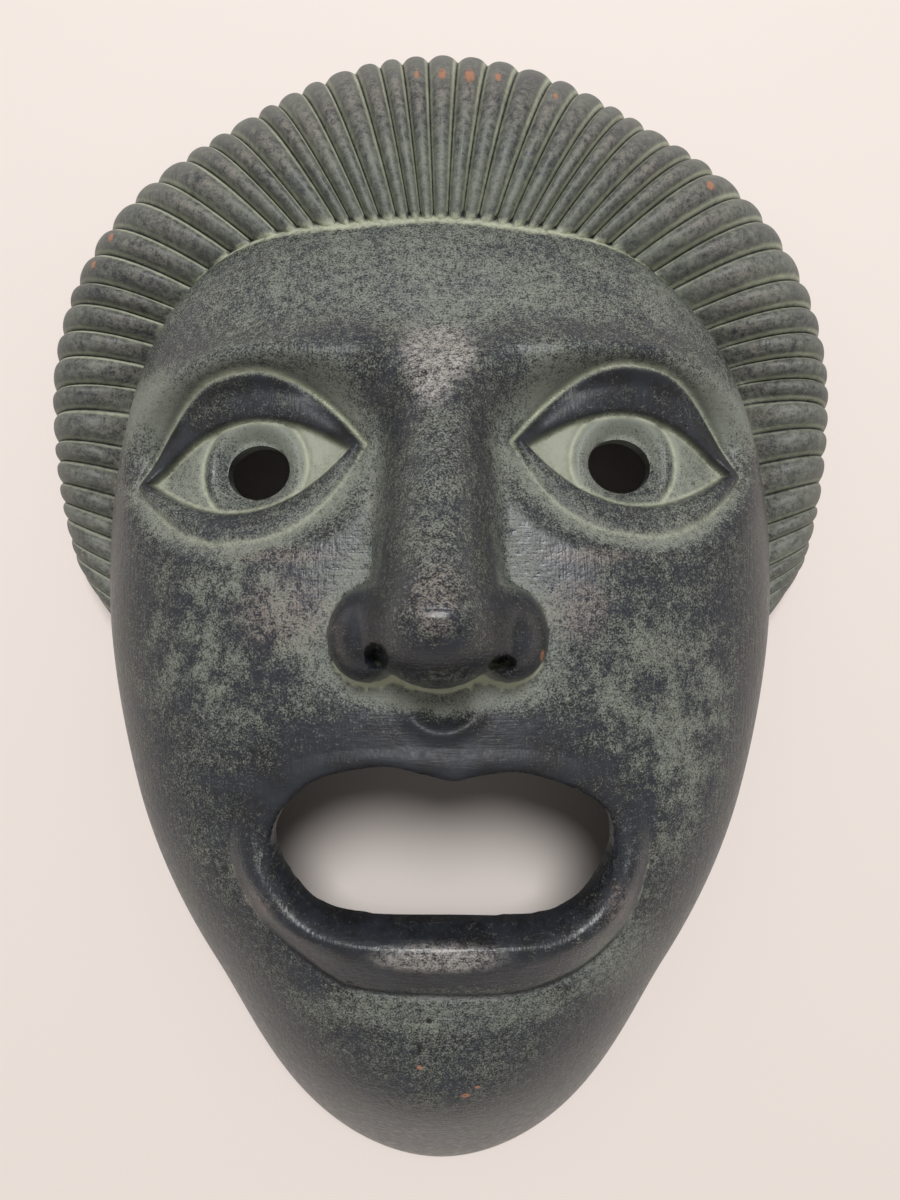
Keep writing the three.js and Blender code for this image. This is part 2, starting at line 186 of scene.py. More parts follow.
NOSTRILS = (
    (-10.5 * MM, -6.2 * MM, 2.2 * MM, 2.4 * MM),
    (11.5 * MM, -7.6 * MM, 2.5 * MM, 1.5 * MM),
)

# Muzzle, dimple, lips and mouth opening
MUZZLE_Y = -30 * MM
MUZZLE_HALF_WIDTH = 30 * MM
MUZZLE_HALF_HEIGHT = 20 * MM
MUZZLE_LIFT = 2.8 * MM
DIMPLE_X = 1 * MM
DIMPLE_Y = -16.8 * MM
DIMPLE_RADIUS_X = 6.5 * MM
DIMPLE_RADIUS_Y = 5.2 * MM
DIMPLE_DEPTH = 2 * MM
DIMPLE_FLAT = 0.25
DIMPLE_RIM = 1.1 * MM
DIMPLE_RIM_WIDTH = 0.28
DIMPLE_RIM_FADE = (-0.1, 0.7)
MOUTH_X = 0.8 * MM
MOUTH_Y = -46 * MM
LIP_LIFT = 4.4 * MM
LIP_ROLL_SKEW = 0.95
LIP_SINK = 1.5 * MM
LIP_SINK_REACH = 1.26
LIP_CREASE = 0.7 * MM
LIP_CREASE_WIDTH = 0.9 * MM
LIP_CREASE_FADE = (14 * MM, 24 * MM)
LIP_TURN = 8 * MM
LEAST_LIP_SHARE = 0.05
LIP_EDGE = 1.2 * MM
UPPER_LIP_SHARE = 0.15

# Outlines of the mouth opening and of the crease round the lips, from the right end over the top
MOUTH_OUTLINE = np.array([
    (35.6, -45), (34.2, -39), (28, -34), (17, -30), (9, -30.2), (3, -31.3), (-3, -30),
    (-11, -28.6), (-21.7, -30.7), (-27.5, -34), (-32.6, -40), (-33.8, -46), (-30, -54),
    (-24, -59), (-15, -60.8), (3, -61), (20, -61.2), (26.5, -59.3), (31, -56), (34.4, -50),
]) * MM
LIP_OUTLINE = np.array([
    (43.3, -43), (40, -35.5), (32, -29.5), (18, -25.5), (0, -25), (-18, -25.5), (-33, -29.5),
    (-40, -36.5), (-43, -47), (-40.5, -56.5), (-35, -64.2), (-22.5, -73.5), (-15, -75.8),
    (0, -76.4), (15, -76.6), (24, -74.7), (33, -70.3), (40, -62.5), (43, -52),
]) * MM

# Cheeks and chin
CHEEK_X = 34 * MM
CHEEK_Y = 0 * MM
CHEEK_WIDTH = 20 * MM
CHEEK_LIFT = 2.5 * MM
CHIN_Y = -104 * MM
CHIN_WIDTH = 20 * MM
CHIN_FLATTENING = 1.3
CHIN_LIFT = 4 * MM

# Hair band
HAIR_CENTRE_Y = 52 * MM
HAIR_HALF_WIDTH = 98 * MM
HAIR_TOP_REACH = 85 * MM
LOWER_FULLNESS = 2.6
QUARTER_FLAT = 0.045
QUARTER_ANGLE = 52
QUARTER_SPREAD = 20
HAIR_START = -28
HAIR_END = 208
END_ROUNDING = 9 * MM
END_ROUNDING_SPAN = 7
END_WALL_SLANT = 2.4
LOCK_COUNT = 62
LOCK_CROWDING = 0.35
LOCK_DEPTH = 2.8 * MM
LOCK_SCALLOP = 1.2 * MM
LOCK_UNEVENNESS = 0.24
LOCK_FADE = (-4, 24)
LOCK_GROOVE_POWER = 2.4
SIDE_GROOVE_END = 0.5
TOP_GROOVE_END = 0.72
GROOVE_END_SPAN = 0.28
TOP_GROOVE_LOSS = 0.75
LOWER_SWEEP = 1.4
TOP_CREST_Z = 47 * MM
SIDE_CREST_Z = 27 * MM
END_CREST_Z = 19 * MM
END_CREST_SPAN = 30
LEAST_HAIR_Z = 3 * MM
CREST_ROUNDNESS = 2.2
INNER_FALL_SHARE = 0.6
ARCH_FADE = (-0.15, 1)
TOP_CREST_IN = 36 * MM
SIDE_CREST_IN = 15 * MM
TOP_BAND_WIDTH = 66 * MM
SIDE_BAND_WIDTH = 33 * MM
BAND_INNER_DROP = 7 * MM
HAIR_CAVITY_OVERLAP = 6 * MM
HAIR_CAVITY_LEAST_Z = 6 * MM

# The rim plane's middle is the origin, as in the CAD model
MIDDLE_Y = (HAIR_CENTRE_Y + HAIR_TOP_REACH + FACE_WIDEST_Y - CHIN_REACH) / 2

# Colours of the coat, of what lies on it, of the painted highlights and of the bare clay; the coat's
# black also paints shade
COAT_BLUE = (0.024, 0.027, 0.035)
# Black of the coat, also used as painted shade in the slits between locks and in the crease under the
# lower lip
COAT_AND_SHADE_BLACK = (0.012, 0.012, 0.014)
SIDE_BROWN = (0.105, 0.088, 0.075)
FILM_GREEN = (0.215, 0.23, 0.195)
CREASE_GREEN = (0.46, 0.48, 0.36)
# Pinkish tint of the painted highlights
HIGHLIGHT_PINK = (0.25, 0.20, 0.18)
BARE_CLAY = (0.36, 0.16, 0.09)
# Pale grey of the painted highlights between the brows and on the lower lip
HIGHLIGHT_GREY = (0.46, 0.43, 0.40)
EYE_LINE_WIDTH = 0.5 * MM

# Share of its half size over which a spot fades out
SPOT_EDGE = (0.45, 1.1)

# Places with a painted pale grey highlight, in millimetres: middle and half size across and up
GREY_HIGHLIGHT_PLACES = ((0, 52, 9, 9), (0, -66.5, 15, 3.6), (-1, 46, 5, 7))

# Painted highlights and bare clay: where along the lock crests the painted pink highlight lies, how
# speckled and strong the pink and grey painted highlights and the bare clay are, and the places with
# a painted pink highlight in millimetres: middle and half size across and up
LOCK_HIGHLIGHT_IN = 24 * MM
LOCK_HIGHLIGHT_SPREAD = 7 * MM
PINK_HIGHLIGHT_SPECKS = (0.3, 0.75)
PINK_HIGHLIGHT_SHARE = 0.5
GREY_HIGHLIGHT_SPECKS = (0.2, 0.8)
GREY_HIGHLIGHT_SHARE = 0.75
BARE_SPECKS = (0.42, 0.72)
PINK_HIGHLIGHT_PLACES = (
    (0, 4, 5, 7), (-30, 1, 12, 9), (27, 2, 8, 7), (-37, -58, 4, 5), (37, -58, 4, 6),
    (-30, 12.5, 12, 2), (30, 12.5, 12, 2),
)

# Bare and pitted places in millimetres: middle and half size across and up
BARE_SPOTS = (
    (5.6, -100.5, 1.2, 0.7), (8, -98.5, 0.8, 0.4), (-4, -93, 0.7, 0.6), (19.3, -6.5, 0.6, 1.4),
)

# Bare ends of locks: direction in degrees, distance inward and half size in millimetres
BARE_LOCKS = (
    (85, 19, 1.3, 2.8), (89, 19, 1.0, 2.2), (81.5, 18, 0.8, 1.7), (93, 19, 0.6, 1.6),
    (66, 18, 0.6, 1.2), (157, 12, 0.9, 1.4), (162, 11, 0.9, 1.2), (38, 16, 1.2, 1.6),
)
DARK_PITS = (
    (3.7, -1.3, 0.5, 0.7), (-2, -82, 0.8, 0.8), (-4, -88.5, 0.5, 1.6), (-42, -59, 0.6, 0.6),
    (-18, -74, 0.8, 0.8), (-37, -26.5, 0.9, 0.8), (53, 41, 0.5, 0.5), (26, -6, 0.4, 0.4),
)

# Grain sizes of the patina, from specks to clouds, and of the brush marks and hair strands
FINE_GRAIN = 0.36 * MM
SPECK_GRAIN = 1.5 * MM
BLOTCH_GRAIN = 7 * MM
CLOUD_GRAIN = 28 * MM
BRUSH_GRAIN = 5 * MM
BRUSH_STRETCH = 9.0
STRAND_GRAIN = 1.2 * MM
STRAND_STRETCH = 0.12
LOCK_TONE_GRAIN = 3 * MM
LOCK_TONE_STRIDE = 17.3 * MM

# Places by the pale film: middle and half size in millimetres, and how much more film lies there; on
# the left cheek the extra film is partly patina and partly a painted highlight
RIGHT_CHEEK = (46, -20, 22, 38)
LEFT_CHEEK_FILM_AND_HIGHLIGHT = (-40, -3, 26, 22)
UNDER_NOSE = (0, -13.5, 25, 6.5)
CHIN_BAND = ((0, -80, 34, 6), (38, -72, 14, 12))
LIPS = (0.8, -48, 52, 36)
WING = (14.5, -3.5, 8, 12)
NOSE_TIP = (0, -9, 12, 8)
BRIDGE = (0, 24, 10, 22)
FOREHEAD_Y, FOREHEAD_SPREAD = 74 * MM, 18 * MM
UNDER_BROW_Y, UNDER_BROW_SPREAD = 45 * MM, 8 * MM
UNDER_BROW_SIDE = (12 * MM, 24 * MM)
CREST_Y, CREST_SPREAD = 55 * MM, 5 * MM
CREST_SIDE = (8 * MM, 16 * MM)
UPPER_LIP_RISE = (-46 * MM, -34 * MM)
PATCHY = (0.35, 0.65)
FILM_BASE = 0.17
FILM_BY_CLOUD = 0.5
FILM_BY_HOLLOW = 0.2
LEAST_HOLLOW = -0.25
FILM_FOREHEAD = 0.32
FILM_UNDER_BROW = 0.8
FILM_RIGHT_CHEEK = 0.34
FILM_AND_HIGHLIGHT_LEFT_CHEEK = 0.42
FILM_BRIDGE = 0.2
FILM_UNDER_NOSE = 0.5
FILM_CHIN_BAND = 0.3
FILM_CREST = -0.12
FILM_LIPS = -0.4
FILM_WINGS = -0.3
FILM_UPPER_LIP = -0.25
HAIR_FILM = 0.17
HAIR_FILM_BY_LOCK = 0.55
HAIR_FILM_INWARD = 0.3
HAIR_FILM_RISE = (26 * MM, 54 * MM)
SPECKLE = {"fine_skin": 2.4, "fine": 0.8, "grain": 1.8, "blotch": 1.1, "all": 0.6}
FILM_RISE = (-0.05, 1.0)

# How the pale fill sits in creases, in the grooves between locks and along the lids, and where shade
# is painted in the slits between locks and in the crease under the lower lip
CREASE_SPECKLE = 0.9
CREASE_RISE = (0.3, 1.2)
LOCK_EDGE, LOCK_EDGE_WIDTH = 0.09, 0.06
FAR_LOCK_EDGE, FAR_LOCK_EDGE_WIDTH = 0.92, 0.05
FAR_LOCK_EDGE_SHARE = 0.45
LOW_SIDE_FADE = (28 * MM, 64 * MM)
SLIT_SHADE_RISE = (0.9, 0.99)
SLIT_SHADE = 0.7
LIP_CREASE_SHADE_STRENGTH = 0.85
SIDE_RISE = (62 * MM, 90 * MM)
RIM_RISE = (4 * MM, 24 * MM)
COAT_PATCHES = (0.35, 0.7)

# Satin of the coat, and the relief of its grain
COAT_ROUGHNESS = 0.37
BRUSH_TURN = (10 * MM, 30 * MM)
BUMP_STRENGTH = 0.55
BUMP_DISTANCE = 0.35 * MM

# How far round a place the search for narrow creases and broad hollows looks, where it is left
# out, and shares of the outline that count as outside the face and as well inside it
CREASE_REACH = 1.1 * MM
CREASE_FULL = 0.55 * MM
HOLLOW_REACHES = (3.5 * MM, 7 * MM)
HOLLOW_FULL = 3.5 * MM
SEAM_WIDTH = 2.2 * MM
NOTE_LIMIT = 1.5
OUTSIDE_FACE = 1.003
INSIDE_FACE = 0.995
ABOVE_FRONT = 0.4 * MM
ON_FRONT = 1 * MM
FACING_DOWN = -0.3
NOSE_SIDE_FADE = (24 * MM, 28 * MM)
NOSE_BASE_FADE = (-14 * MM, -6 * MM)
UPPER_LIP_FADE = (MOUTH_Y - 4 * MM, MOUTH_Y + 4 * MM)
UPPER_LIP_TOP = DIMPLE_Y - 2 * MM
MOUTH_EDGE_FADE = (1.08, 1.2)
LID_CREASE_START = (0, 2 * MM)
LID_HOLLOW_START = (-1 * MM, 2 * MM)

# Table, light and the room's even glow
FLOOR_HALF_SIZE = 3.0
FLOOR_COLOUR = (0.80, 0.725, 0.68, 1)
FLOOR_ROUGHNESS = 0.6
LIGHT_PLACE = (0.1, 1.1, 2.5)
LIGHT_AIM = (0, 0, 0)
LIGHT_SIZE = 0.9
LIGHT_POWER = 60
ROOM_COLOUR = (1.0, 0.96, 0.92, 1)
ROOM_STRENGTH = 0.36
CLIP_START = 0.01

# Fineness of the surfaces
FACE_COLUMNS = 330
FACE_ROWS = 500
CAVITY_COLUMNS = 70
CAVITY_ROWS = 100
FACETS_PER_LOCK = 16
BAND_ROWS = 70
ROW_CROWDING = 1.3
HAIR_CAVITY_COLUMNS = 160
HAIR_CAVITY_ROWS = 20
PUPIL_STEPS = 80
CURVE_STEPS = 12
PROBE_SHARES = (0.5, 0.8, 1.0)
PROBE_STEPS = 8
LOCK_SEARCH_STEPS = 473
LOCK_SEARCH_MARGIN = 3 * MM
MOST_TRIANGLES = 192000
SHARP_ANGLE = math.radians(50)

RANDOM = np.random.default_rng(7)


def smoothstep(value, low, high):
    share = np.clip((value - low) / (high - low), 0, 1)
    return share * share * (3 - 2 * share)


def lerp(low, high, share):
    return low + (high - low) * share


def bump(distance, width):
    return np.exp(-((distance / width) ** 2))


def smooth_max(a, b, blend):
    overlap = np.maximum(blend - np.abs(a - b), 0) / blend
    return np.maximum(a, b) + overlap * overlap * blend / 4


def super_measure(dx, dy, power):
    """Below 1 inside a superellipse, 1 on its outline."""
    return (np.abs(dx) ** power + np.abs(dy) ** power) ** (1 / power)


def outline_power(dx, dy):
    reach = np.maximum(np.hypot(dx, dy), 1e-9)
    lower = lerp(JAW_ROUNDNESS, CHIN_ROUNDNESS, smoothstep(-dy / reach, CHIN_START, 1))
    return np.where(dy >= 0, TEMPLE_ROUNDNESS, lower)


def lean_at(y):
    return TEMPLE_LEAN * np.maximum((y - FACE_WIDEST_Y) / HAIRLINE_REACH, 0) ** 3


def face_measure(x, y):
    dx = (x + lean_at(y)) / FACE_HALF_WIDTH
    reach = np.where(y < FACE_WIDEST_Y, CHIN_REACH, HAIRLINE_REACH)
    dy = (y - FACE_WIDEST_Y) / reach
    return super_measure(dx, dy, outline_power(dx, dy))


def crown_height(x, y):
    """Plain rounded front of the face, before any feature."""
    chinward = smoothstep(FACE_WIDEST_Y - y, CROWN_FLAT_SHARE * CHIN_REACH, CHIN_REACH)
    flat_above = CROWN_FLAT_SHARE * HAIRLINE_REACH
    foreheadward = smoothstep(y - FACE_WIDEST_Y, flat_above, HAIRLINE_REACH)
    edge = lerp(CHEEK_EDGE_Z, FOREHEAD_EDGE_Z, foreheadward)
    edge = lerp(edge, CHIN_EDGE_Z, chinward)
    steepness = lerp(SIDE_STEEPNESS, CHIN_STEEPNESS, chinward)
    measure = np.minimum(face_measure(x, y), 1)
    return edge + (FACE_CROWN_Z - edge) * (1 - measure**CROWN_ROUNDNESS) ** steepness


def eye_place(x, y):
    """Places along and across the drooping axis of the nearer eye."""
    dx = np.abs(x) - EYE_X
    dy = y - EYE_Y - EYE_TILT * x
    along = dx * math.cos(EYE_DROOP) - dy * math.sin(EYE_DROOP)
    across = dx * math.sin(EYE_DROOP) + dy * math.cos(EYE_DROOP)
    return along, across


def almond_distance(along, across, half_length, upper, lower, power=ALMOND_POWER):
    """Distance outside an almond's edge, negative inside it."""
    height = np.where(across > 0, upper, lower)
    share = np.abs(along / half_length)
    measure = share**power + np.abs(across) / height
    steepness = power * share ** (power - 1) / half_length
    return (measure - 1) / np.hypot(steepness, 1 / height)


def eye_relief(x, y):
    along, across = eye_place(x, y)
    socket_measure = np.hypot(along / SOCKET_HALF_LENGTH, across / SOCKET_HALF_HEIGHT)
    above = smoothstep(across, -SOCKET_TURN, SOCKET_TURN)
    flat = lerp(SOCKET_FLAT_BELOW, SOCKET_FLAT_ABOVE, above)
    socket = 1 - smoothstep(socket_measure, flat, SOCKET_EDGE)

    inner = almond_distance(along, across, EYE_HALF_LENGTH, EYE_UPPER, EYE_LOWER)
    outer = almond_distance(along, across, LID_HALF_LENGTH, LID_UPPER, LID_LOWER, LID_POWER)
    share = np.clip(inner / np.maximum(inner - outer, LEAST_LID), 0, 1)
    crest = LID_CREST_SHARE
    inner_fall = LID_INNER_FALL * (crest - share) / crest
    fall = np.where(share > crest, (share - crest) / (1 - crest), inner_fall)
    within_lid = 1 - smoothstep(outer, -LID_EDGE, 3 * LID_EDGE)
    on_lid = smoothstep(inner, -LID_EDGE, LID_EDGE) * within_lid
    lid = LID_LIFT * (1 - fall**2) * on_lid
    crease = -LID_CREASE * bump(outer, LID_CREASE_WIDTH) * smoothstep(across, *LID_CREASE_FADE)

    in_eye = 1 - smoothstep(inner, -LID_EDGE, LID_EDGE)
    radius = np.hypot(np.abs(x) - IRIS_X, y - IRIS_Y - EYE_TILT * x)
    ball = -EYE_SINK + EYE_BULGE * bump(radius, EYE_BULGE_WIDTH)
    groove = -IRIS_GROOVE * bump(radius - IRIS_RADIUS, IRIS_GROOVE_WIDTH)
    dish_radius = IRIS_RADIUS - IRIS_RIM
    hole_share = (dish_radius - radius) / (dish_radius - PUPIL_RADIUS_X)
    dish = -IRIS_DISH * np.clip(hole_share, 0, IRIS_DISH_LIMIT) ** IRIS_DISH_POWER
    return -SOCKET_DEPTH * socket + lid + crease + in_eye * (ball + groove + dish)


def brow_relief(x, y):
    share = np.abs(x) / BROW_HALF_LENGTH
    along = 1 - smoothstep(share, *BROW_END_FADE)
    at_middle = bump(x, BROW_MIDDLE_WIDTH)
    crest_y = BROW_Y - BROW_FALL * share * share - BROW_MIDDLE_FALL * at_middle
    middle = 1 - BROW_MIDDLE_DIP * at_middle
    return BROW_LIFT * along * middle * bump(y - crest_y, BROW_WIDTH)


def cap_height(dx, dy, top_z, depth):
    """Ellipsoid cap that stands on the plane depth below its top."""
    outside = dx * dx + dy * dy
    on_cap = top_z - depth * (1 - np.sqrt(np.maximum(1 - outside, 0)))
    return np.where(outside > 1, top_z - depth * (1 + CAP_FALL_SLOPE * (outside - 1)), on_cap)


def smooth_min(a, b, blend):
    return -smooth_max(-a, -b, blend)


def nose_height(x, y):
    down = (NOSE_ROOT_Y - y) / (NOSE_ROOT_Y - NOSE_TIP_Y)
    at_tip = bump(y - NOSE_TIP_Y, TIP_REACH)
    ridge = lerp(NOSE_ROOT_Z, NOSE_TIP_Z, np.minimum(down, 1))
    half_width = lerp(BRIDGE_HALF_WIDTH, BRIDGE_LOW_HALF_WIDTH, np.clip(down, 0, 1))
    flare = ROOT_FLARE * bump(np.minimum(y - ROOT_FLARE_Y, 0), ROOT_FLARE_SPREAD)
    half_width = half_width + TIP_SWELLING * at_tip + flare
    side = BRIDGE_SIDE_DROP * (np.abs(x) / half_width) ** BRIDGE_SQUARENESS
    above_root = np.maximum(y - NOSE_ROOT_Y, 0) ** 2 / NOSE_ROOT_FALL
    bridge = ridge + TIP_LIFT * at_tip - side - above_root
    under_dy = (y - UNDERSIDE_Y) / UNDERSIDE_RADIUS_Y
    under = cap_height(x / UNDERSIDE_RADIUS_X, under_dy, UNDERSIDE_TOP_Z, UNDERSIDE_DEPTH)
    under = np.where(y > UNDERSIDE_Y, np.maximum(under, bridge + UNDERSIDE_BLEND), under)
    nose = smooth_min(bridge, under, UNDERSIDE_BLEND)
    wing_dx = np.abs(x) - WING_X
    wing_dy = y - WING_Y
    along = wing_dx * math.cos(WING_TILT) + wing_dy * math.sin(WING_TILT)
    upward = wing_dy * math.cos(WING_TILT) - wing_dx * math.sin(WING_TILT)
    wing = cap_height(along / WING_RADIUS_X, upward / WING_RADIUS_Y, WING_TOP_Z, WING_DEPTH)
    return smooth_max(nose, wing, WING_BLEND)


def closed_curve(points, steps):
    """Smooth closed curve through points, as many places between each two."""
    share = np.arange(steps)[:, None] / steps
    parts = []
    for index in range(len(points)):
        before, start, end, after = (points[(index + k) % len(points)] for k in (-1, 0, 1, 2))
        slope_in = (end - before) / 2
        slope_out = (after - start) / 2
        square = share * share
        cube = square * share
        parts.append(
            (2 * cube - 3 * square + 1) * start + (cube - 2 * square + share) * slope_in
            + (3 * square - 2 * cube) * end + (cube - square) * slope_out
        )
    return np.concatenate(parts)


def outline_measure(outline, x, y):
    """Below 1 inside an outline round the mouth's middle, 1 on it."""
    dx, dy = outline[:, 0] - MOUTH_X, outline[:, 1] - MOUTH_Y
    angle = np.arctan2(dy, dx)
    order = np.argsort(angle)
    reach = np.interp(
        np.arctan2(y - MOUTH_Y, x - MOUTH_X), angle[order], np.hypot(dx, dy)[order],
        period=2 * math.pi,
    )
    return np.hypot(x - MOUTH_X, y - MOUTH_Y) / reach


MOUTH_CURVE = closed_curve(MOUTH_OUTLINE, CURVE_STEPS)
LIP_CURVE = closed_curve(LIP_OUTLINE, CURVE_STEPS)


def lip_crease(x, y):
    """1 in the crease under the lower lip, falling off on both sides."""
    outer = outline_measure(LIP_CURVE, x, y)
    distance = np.hypot(x - MOUTH_X, y - MOUTH_Y) * (1 - 1 / np.maximum(outer, LEAST_LIP_SHARE))
    return bump(distance, LIP_CREASE_WIDTH) * smoothstep(MOUTH_Y - y, *LIP_CREASE_FADE)


def lip_relief(x, y):
    inner = outline_measure(MOUTH_CURVE, x, y)
    outer = outline_measure(LIP_CURVE, x, y)
    dy = y - MOUTH_Y
    across = np.clip((inner - 1) / np.maximum(inner - outer, LEAST_LIP_SHARE), 0, 1)
    lower = lerp(UPPER_LIP_SHARE, 1, smoothstep(-dy, -LIP_TURN, LIP_TURN))
    roll = np.sin(math.pi * across**LIP_ROLL_SKEW)
    distance = np.hypot(x - MOUTH_X, dy) * (1 - 1 / np.maximum(inner, LEAST_LIP_SHARE))
    near = np.clip(1 - distance / LIP_EDGE, 0, 1)
    edge = LIP_EDGE * near * near / 2
    sink = LIP_SINK * (1 - smoothstep(inner, 1, LIP_SINK_REACH))
    return lower * (LIP_LIFT * roll - sink) - edge - LIP_CREASE * lip_crease(x, y)


def dimple_relief(x, y):
    """Dent under the nose with a raised rim round its lower half."""
    dx, dy = (x - DIMPLE_X) / DIMPLE_RADIUS_X, (y - DIMPLE_Y) / DIMPLE_RADIUS_Y
    measure = np.hypot(dx, dy)
    rim = bump(measure - 1, DIMPLE_RIM_WIDTH) * smoothstep(-dy, *DIMPLE_RIM_FADE)
    return DIMPLE_RIM * rim - DIMPLE_DEPTH * (1 - smoothstep(measure, DIMPLE_FLAT, 1))


def face_height(x, y):
    muzzle = bump(np.hypot(x / MUZZLE_HALF_WIDTH, (y - MUZZLE_Y) / MUZZLE_HALF_HEIGHT), 1)
    cheek = bump(np.hypot(np.abs(x) - CHEEK_X, y - CHEEK_Y), CHEEK_WIDTH)
    chin = bump(np.hypot(x, (y - CHIN_Y) * CHIN_FLATTENING), CHIN_WIDTH)
    height = crown_height(x, y) + brow_relief(x, y) + eye_relief(x, y)
    height += MUZZLE_LIFT * muzzle + CHEEK_LIFT * cheek + CHIN_LIFT * chin
    height += lip_relief(x, y) + dimple_relief(x, y)
    foot = lerp(NOSE_FOOT_BLEND, WING_FOOT_BLEND, smoothstep(-y, *WING_FOOT_FADE))
    foot = lerp(foot, NOSE_ROOT_BLEND, smoothstep(y, *NOSE_ROOT_FADE))
    height = smooth_max(height, nose_height(x, y), foot)
    for nostril_x, nostril_y, radius_x, radius_y in NOSTRILS:
        measure = np.hypot((x - nostril_x) / radius_x, (y - nostril_y) / radius_y)
        height = height - NOSTRIL_DEPTH * (1 - smoothstep(measure, *NOSTRIL_FADE))
    return height


def face_grid(columns, rows, inset):
    """Places on the face for an even square grid that is fitted to the outline."""
    turn = (CHIN_REACH - HAIRLINE_REACH) / (CHIN_REACH + HAIRLINE_REACH)
    t = np.linspace(-1, 1, rows + 1)[:, None]
    column = np.linspace(-1, 1, columns + 1)[None, :]
    row = np.where(t < turn, (t - turn) / (1 + turn), (t - turn) / (1 - turn))
    across = column * np.sqrt(1 - row * row / 2)
    up = row * np.sqrt(1 - column * column / 2)
    measure = super_measure(across, up, outline_power(across, up))
    scale = np.hypot(across, up) / np.maximum(measure, 1e-9)
    reach = np.where(up < 0, CHIN_REACH, HAIRLINE_REACH) - inset
    y = FACE_WIDEST_Y + up * scale * reach
    return across * scale * (FACE_HALF_WIDTH - inset) - lean_at(y), y


def inner_height(x, y):
    """Lowest surface that leaves a full wall under the front."""
    lowest = face_height(x, y) - WALL
    for share in PROBE_SHARES:
        reach = WALL * share
        rise = WALL * math.sqrt(1 - share * share)
        for step in range(PROBE_STEPS):
            angle = step * 2 * math.pi / PROBE_STEPS
            nearby = face_height(x + reach * math.cos(angle), y + reach * math.sin(angle))
            lowest = np.minimum(lowest, nearby - rise)
    return lowest


def hair_radius(degrees):
    angle = np.radians(degrees)
    fullness = np.where(np.sin(angle) < 0, LOWER_FULLNESS, 2)
    across = np.cos(angle) / HAIR_HALF_WIDTH
    radius = 1 / super_measure(across, np.sin(angle) / HAIR_TOP_REACH, fullness)
    from_side = np.minimum(degrees, 180 - degrees)
    return radius * (1 - QUARTER_FLAT * bump(from_side - QUARTER_ANGLE, QUARTER_SPREAD))


def end_trim(degrees):
    """How far the locks at the ends of the band start inside its outline."""
    near_end = np.clip(1 - from_hair_end(degrees) / END_ROUNDING_SPAN, 0, 1)
    return END_ROUNDING * near_end**2


def arch_share(degrees):
    return smoothstep(np.sin(np.radians(degrees)), *ARCH_FADE)


def lock_direction(degrees):
    """Radial above, swept up on the lower sides."""
    swept = np.where(degrees < 0, -LOWER_SWEEP * degrees, degrees)
    return np.where(degrees > 180, 180 - LOWER_SWEEP * (degrees - 180), swept)


def hair_place(degrees, inward):
    angle = np.radians(degrees)
    run = np.radians(lock_direction(degrees))
    radius = hair_radius(degrees)
    reach = inward + end_trim(degrees)
    x = radius * np.cos(angle) - reach * np.cos(run)
    y = HAIR_CENTRE_Y + radius * np.sin(angle) - reach * np.sin(run)
    return x, y


def from_hair_end(degrees):
    return np.minimum(degrees - HAIR_START, HAIR_END - degrees)


def hair_height(degrees, inward):
    share = arch_share(degrees)
    from_end = smoothstep(from_hair_end(degrees), 0, END_CREST_SPAN)
    side_z = lerp(END_CREST_Z, SIDE_CREST_Z, from_end)
    crest_z = lerp(side_z, TOP_CREST_Z, share)
    crest_in = lerp(SIDE_CREST_IN, TOP_CREST_IN, share)
    outward = np.clip(1 - inward / crest_in, 0, 1)
    falling = crest_z * np.sqrt(np.maximum(1 - outward**CREST_ROUNDNESS, 0))
    fall_share = (inward - crest_in) / (INNER_FALL_SHARE * crest_in)
    inner = crest_z - BAND_INNER_DROP * fall_share**2
    return np.where(inward > crest_in, inner, falling)


def band_width(degrees):
    return lerp(SIDE_BAND_WIDTH, TOP_BAND_WIDTH, arch_share(degrees))


def grid_solid(name, x, y, z, base):
    """Closed body under a grid of points, with a straight wall and a flat bottom."""
    rows, columns = x.shape
    count = rows * columns
    number = np.arange(count).reshape(rows, columns)
    loop = np.concatenate(
        [number[0, :-1], number[:-1, -1], number[-1, :0:-1], number[:0:-1, 0]]
    )
    lower = np.arange(len(loop)) + count
    top = np.stack([x.ravel(), y.ravel(), z.ravel()], axis=1)
    bottom = top[loop].copy()
    bottom[:, 2] = base
    quads = np.stack(
        [number[:-1, :-1], number[:-1, 1:], number[1:, 1:], number[1:, :-1]], axis=-1
    ).reshape(-1, 4)
    after = np.roll(np.arange(len(loop)), -1)
    sides = np.stack([lower, lower[after], loop[after], loop], axis=1)
    faces = quads.tolist() + sides.tolist() + [lower[::-1].tolist()]
    mesh = bpy.data.meshes.new(name)
    mesh.from_pydata(np.concatenate([top, bottom]).tolist(), [], faces)
    mesh.update()
    body = bpy.data.objects.new(name, mesh)
    bpy.context.scene.collection.objects.link(body)
    return body


def face_solid():
    x, y = face_grid(FACE_COLUMNS, FACE_ROWS, 0)
    return grid_solid("face_body", x, y, face_height(x, y), 0)


def face_cavity():
    x, y = face_grid(CAVITY_COLUMNS, CAVITY_ROWS, WALL)
    ceiling = np.maximum(inner_height(x, y), -CUT_PAST / 2)
    return grid_solid("face_cavity", x, y, ceiling, -CUT_PAST)


def lock_edges():
    """Angles between the locks: closer at the sides, a little uneven as modelled by hand."""
    steps = 1 + LOCK_UNEVENNESS * RANDOM.uniform(-1, 1, LOCK_COUNT)
    edges = np.concatenate([[0], np.cumsum(steps)])
    share = 2 * edges / edges[-1] - 1
    crowded = share * (1 + LOCK_CROWDING) - LOCK_CROWDING * share**3
    return lerp(HAIR_START, HAIR_END, (crowded + 1) / 2)


LOCK_EDGES = lock_edges()
LOWEST_HAIR_Y = float(hair_place(HAIR_START, 0)[1])


